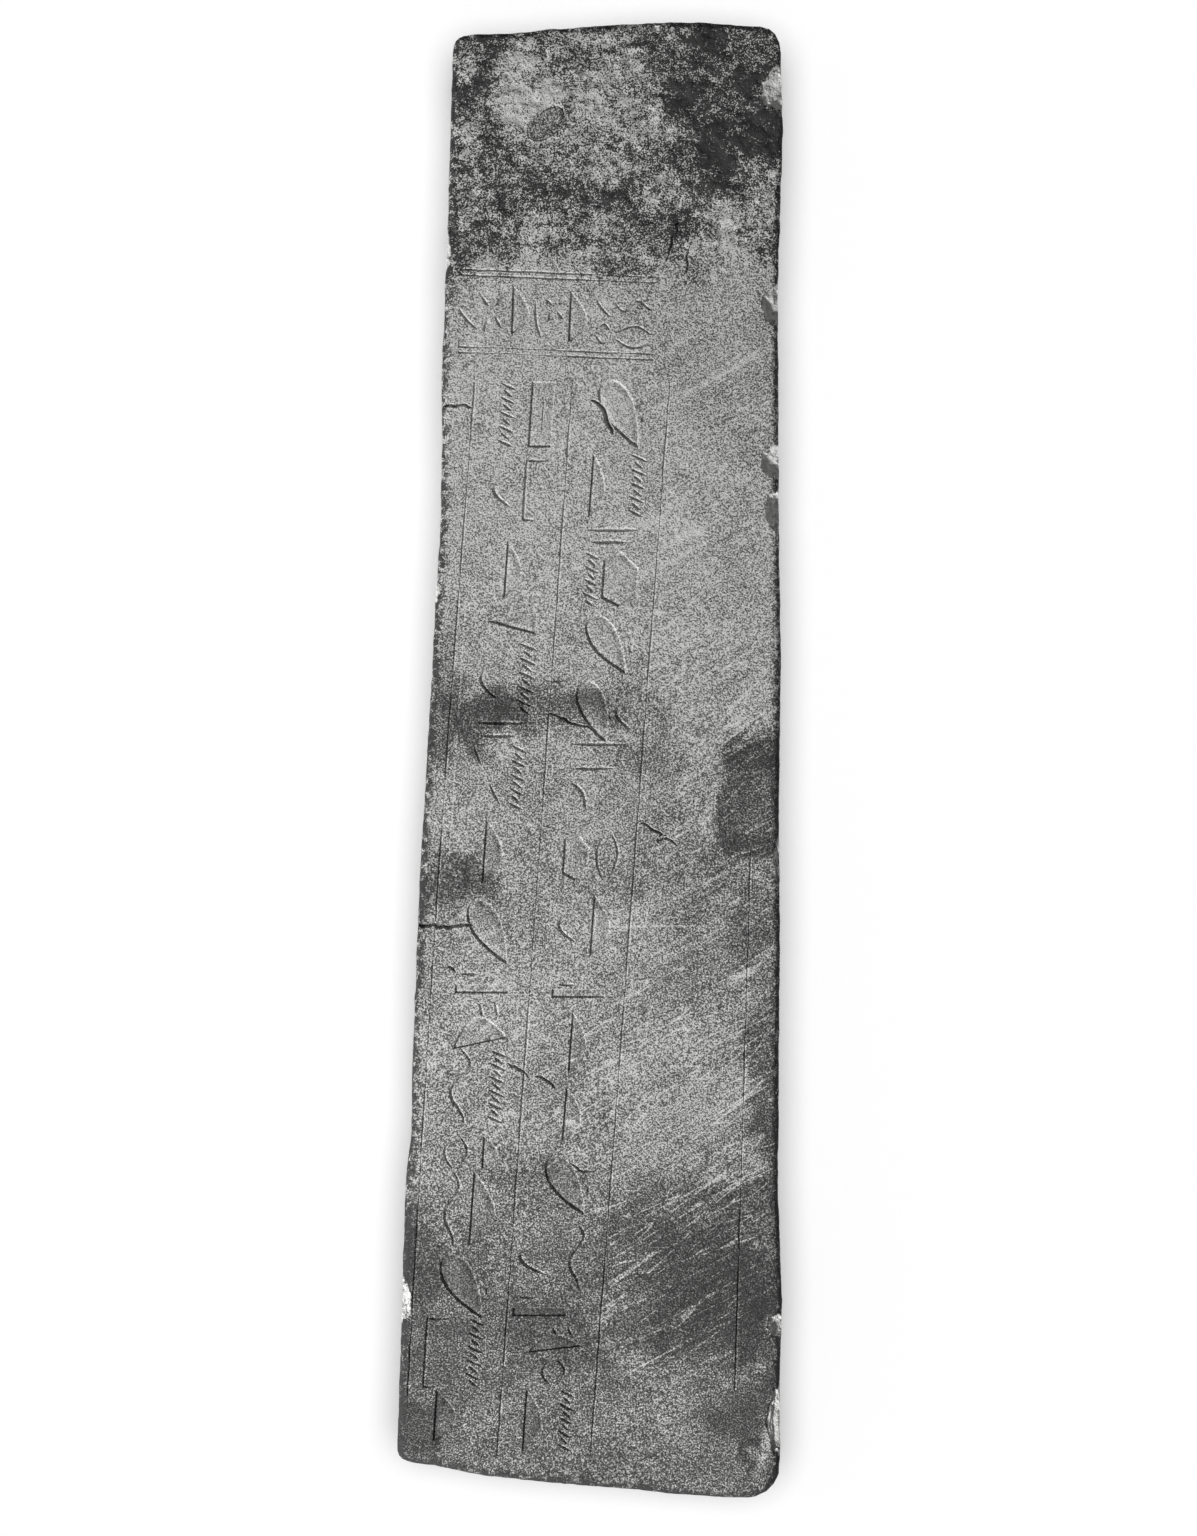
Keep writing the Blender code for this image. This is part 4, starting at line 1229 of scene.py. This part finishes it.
# Single scratches: from, to, half width, and how much lighter (or, below 0, darker) they are.
SCRATCHES = (
    ((0.010, -0.167), (0.126, -0.166), 0.0014, 0.16),
    ((0.000, -0.596), (0.100, -0.597), 0.0012, 0.12),
    ((0.030, -0.618), (0.107, -0.576), 0.0012, 0.24),
    ((0.072, -0.563), (0.107, -0.576), 0.0012, 0.22),
    ((0.058, -0.554), (0.057, -0.568), 0.0016, 0.26),
    ((0.078, -0.636), (0.058, -0.680), 0.0012, 0.20),
    ((0.138, -0.625), (0.126, -0.652), 0.0012, 0.18),
    ((0.147, 0.020), (0.185, 0.025), 0.0012, 0.20),
    ((0.052, -0.342), (0.092, -0.322), 0.0011, 0.20),
    ((0.077, -0.455), (0.147, -0.403), 0.0012, 0.22),
    ((0.097, -0.462), (0.150, -0.420), 0.0011, 0.18),
    ((0.050, -0.515), (0.172, -0.475), 0.0012, 0.20),
    ((0.052, -0.488), (0.150, -0.440), 0.0010, 0.14),
    ((0.145, -0.323), (0.175, -0.296), 0.0013, 0.20),
    ((0.052, -0.277), (0.112, -0.247), 0.0011, 0.18),
    ((0.075, -0.300), (0.135, -0.268), 0.0011, 0.16),
    ((0.066, -0.350), (0.094, -0.331), 0.0030, -0.22),
    ((0.040, -0.520), (0.095, -0.500), 0.0016, -0.16),
    (*beside(third_line, 0.05, 0.60), 0.0011, 0.10),
    (*beside(first_line, 0.20, 0.45), 0.0012, 0.14),
)
print(len(SCRATCHES), "single scratches")

# %% [markdown]
# The stone's colour starts from the painted tone. Each grain then moves the tone up or down by its speck,
# and at the head the clots and clouds move it too, so that dark and light meet in scattered grains and not
# in a soft smear. Scratches lower the tone along their lines. Equal steps of tone should look equal, so the
# share of pale colour is a power of the tone. Fresh breaks are mixed in last, and the relief of the grain
# is a Bump node on the normal.

# %% Stone material
PALE = (0.560, 0.559, 0.552, 1.0)
BLACK = (0.004, 0.004, 0.004, 1.0)
BROKEN = (0.700, 0.698, 0.690, 1.0)
DEEPEST = 0.050
GRAIN_CONTRAST = 1.12
HEAD_CONTRAST = 0.45
SUNK_CONTRAST = -0.35
SCRATCH_STRENGTH = 1.6
GRAIN_RELIEF = 0.0006


def mix_colour(tree, share, below, above):
    node = tree.nodes.new("ShaderNodeMix")
    node.data_type = "RGBA"
    tree.links.new(share, node.inputs["Factor"])
    for socket, value in ((node.inputs[6], below), (node.inputs[7], above)):
        if isinstance(value, tuple):
            socket.default_value = value
        else:
            tree.links.new(value, socket)
    return node.outputs[2]


def painted(tree, name):
    node = tree.nodes.new("ShaderNodeAttribute")
    node.attribute_name = name
    return node.outputs["Fac"]


def scratch_mask(tree, place, start, end, half_width):
    start, end = Vector(start), Vector(end)
    middle, along = blend(start, end, 0.5), end - start
    node = tree.nodes.new("ShaderNodeGroup")
    node.node_tree = one_scratch
    tree.links.new(place, node.inputs["Vector"])
    numbers = (middle.x, middle.y, math.atan2(along.y, along.x), along.length / 2, half_width)
    for label, number in zip(("X", "Y", "Angle", "Half Length", "Half Width"), numbers):
        node.inputs[label].default_value = number
    return node.outputs["Mask"]


def scratch_node(tree, place, degrees):
    node = tree.nodes.new("ShaderNodeGroup")
    node.node_tree = scratches
    node.inputs["Angle"].default_value = math.radians(degrees)
    tree.links.new(place, node.inputs["Vector"])
    return node


def stone_material():
    material = bpy.data.materials.new("worn_grey_stone")
    material.use_nodes = True
    tree = material.node_tree
    shader = tree.nodes["Principled BSDF"]
    place = tree.nodes.new("ShaderNodeTexCoord").outputs["Object"]
    grains = tree.nodes.new("ShaderNodeGroup")
    grains.node_tree = grain
    tree.links.new(place, grains.inputs["Vector"])
    specks, clots, clouds = (grains.outputs[label] for label in ("Specks", "Clots", "Clouds"))
    scored, crossing = (scratch_node(tree, place, angle) for angle in (-28, -37))
    smears = math_node(tree, "MULTIPLY", scored.outputs["Smears"], painted(tree, "scored"))
    lines = math_node(tree, "MULTIPLY", scored.outputs["Lines"], painted(tree, "scored"))
    threads = math_node(tree, "MAXIMUM", scored.outputs["Threads"], crossing.outputs["Threads"])
    threads = math_node(tree, "MULTIPLY", threads, painted(tree, "scored"))

    # The groove term is a painted highlight: it lightens the insides of grooves so that their lit walls read
    # brighter.
    dark = added(
        tree, (painted(tree, "tone"), 1.0), (clouds, 0.12), (clots, 0.08), (smears, -0.09), (lines, -0.12),
        (threads, -0.55), (painted(tree, "groove"), -0.12), (painted(tree, "scored"), 0.08),
        *(
            (scratch_mask(tree, place, *scratch), -SCRATCH_STRENGTH * lighter)
            for *scratch, lighter in SCRATCHES
        ),
    )
    dark = math_node(tree, "ADD", dark, -0.10)
    mottled = math_node(tree, "SUBTRACT", added(tree, (clouds, 0.44), (clots, 0.36)), 0.36)
    # The rim term darkens the edges of the face, partly as painted shade on the arris.
    rim = math_node(tree, "MULTIPLY", painted(tree, "rim"), between(tree, clots, 0.0, 0.8, 0.20, 0.90))
    mottled = math_node(tree, "MULTIPLY", mottled, painted(tree, "ragged"))
    contrast = added(tree, (painted(tree, "ragged"), HEAD_CONTRAST), (painted(tree, "sunk"), SUNK_CONTRAST))
    contrast = math_node(tree, "ADD", contrast, GRAIN_CONTRAST)
    spread = math_node(tree, "MULTIPLY", math_node(tree, "SUBTRACT", 0.5, specks), contrast)
    dark = added(tree, (dark, 1.0), (mottled, 1.0), (spread, 1.0))
    harder = math_node(tree, "MULTIPLY", math_node(tree, "SUBTRACT", dark, 0.45), painted(tree, "ragged"))
    dark = added(tree, (dark, 1.0), (harder, 0.7), (rim, 1.0))
    dark = math_node(tree, "MINIMUM", math_node(tree, "MAXIMUM", dark, 0.0), 1.0)
    colour = mix_colour(tree, math_node(tree, "POWER", DEEPEST, dark), BLACK, PALE)
    broken = added(tree, (painted(tree, "fresh"), 1.0), (specks, -0.5), (clots, -0.3))
    colour = mix_colour(tree, between(tree, broken, 0.1, 0.9), colour, BROKEN)
    tree.links.new(colour, shader.inputs["Base Color"])

    height = added(tree, (specks, 0.55), (clots, 0.60), (lines, -0.25))
    bump = tree.nodes.new("ShaderNodeBump")
    bump.inputs["Strength"].default_value = 1.0
    bump.inputs["Distance"].default_value = GRAIN_RELIEF
    tree.links.new(height, bump.inputs["Height"])
    tree.links.new(bump.outputs["Normal"], shader.inputs["Normal"])
    tree.links.new(between(tree, clots, 0.0, 1.0, 0.95, 0.70), shader.inputs["Roughness"])
    shader.inputs["Specular IOR Level"].default_value = 0.30
    return material


slab.data.materials.clear()
slab.data.materials.append(stone_material())
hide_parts("inscribed_slab")
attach(slab, "root")
print("stone laid on", slab.name)

# %% [markdown]
# ## Floor, light and camera
# The slab lies on a plain pale floor. It is only there to be lain on, so it is one flat square, and it
# reaches far enough that its edge stays out of sight from low viewpoints too.

# %% Floor
FLOOR_HALF_SIZE = 40.0
floor_shape = bmesh.new()
bmesh.ops.create_grid(floor_shape, x_segments=1, y_segments=1, size=FLOOR_HALF_SIZE)
floor_mesh = bpy.data.meshes.new("floor")
floor_shape.to_mesh(floor_mesh)
floor_shape.free()
floor = tool_object("floor", floor_mesh)
floor_material = bpy.data.materials.new("pale_floor")
floor_material.use_nodes = True
floor_shader = floor_material.node_tree.nodes["Principled BSDF"]
floor_shader.inputs["Base Color"].default_value = (0.80, 0.80, 0.80, 1.0)
floor_shader.inputs["Roughness"].default_value = 0.9
floor_mesh.materials.append(floor_material)
print("floor of", 2 * FLOOR_HALF_SIZE, "m")

# %% [markdown]
# Relief this shallow only shows under light that skims the face, so the key lamp stands low at the lower
# left. It is kept off the floor, where it would throw a long shadow. The floor has a broad sun of its own
# straight above, which lights it evenly all the way to its edge.

# %% Lamps
FACE_CENTRE = Vector((0.0, 0.0, TOP))


def lamp(name, data, direction, distance, only):
    """Places a lamp so that it shines from a direction at the face, and lights one object only."""
    made = bpy.data.objects.new(name, data)
    made.location = FACE_CENTRE + direction.normalized() * distance
    made.rotation_euler = direction.to_track_quat("Z", "Y").to_euler()
    bpy.context.scene.collection.objects.link(made)
    lit = bpy.data.collections.new(name + "_lights")
    lit.objects.link(only)
    made.light_linking.receiver_collection = lit


KEY_HEIGHT = math.radians(33)
KEY_DISTANCE = 4.2
key_direction = Vector((-0.72 * math.cos(KEY_HEIGHT), -0.69 * math.cos(KEY_HEIGHT), math.sin(KEY_HEIGHT)))
key = bpy.data.lights.new("key", "AREA")
key.size = 0.5
key.energy = 268
lamp("key_lamp", key, key_direction, KEY_DISTANCE, slab)
daylight = bpy.data.lights.new("daylight", "SUN")
daylight.energy = 3.4
daylight.angle = math.radians(40)
lamp("floor_lamp", daylight, Vector((0.0, 0.0, 1.0)), 5.0, floor)

world = bpy.data.worlds.new("studio")
world.use_nodes = True
world.node_tree.nodes["Background"].inputs["Color"].default_value = (1.0, 1.0, 1.0, 1.0)
world.node_tree.nodes["Background"].inputs["Strength"].default_value = 0.17
bpy.context.scene.world = world
bpy.context.scene.view_settings.view_transform = "Standard"
print("key lamp at", [round(value, 2) for value in FACE_CENTRE + key_direction.normalized() * KEY_DISTANCE])

# %% [markdown]
# The photograph was taken squarely from in front, so the camera looks straight down at the face. It stands
# far away behind a long lens, which bends the picture least, and the lens is worked out from how much of
# the face's plane the photograph takes in.

# %% Camera
PHOTO_HEIGHT = 1.536
CAMERA_DISTANCE = 4.6
VIEW_CENTRE = Vector((0.0085, -0.0080, TOP))
camera_data = bpy.data.cameras.new("camera")
camera_data.sensor_width = 36.0
camera_data.lens = camera_data.sensor_width * CAMERA_DISTANCE / PHOTO_HEIGHT
camera = bpy.data.objects.new("camera", camera_data)
camera.location = VIEW_CENTRE + Vector((0, 0, CAMERA_DISTANCE))
bpy.context.scene.collection.objects.link(camera)
bpy.context.scene.camera = camera
print("lens of", round(camera_data.lens, 1), "mm")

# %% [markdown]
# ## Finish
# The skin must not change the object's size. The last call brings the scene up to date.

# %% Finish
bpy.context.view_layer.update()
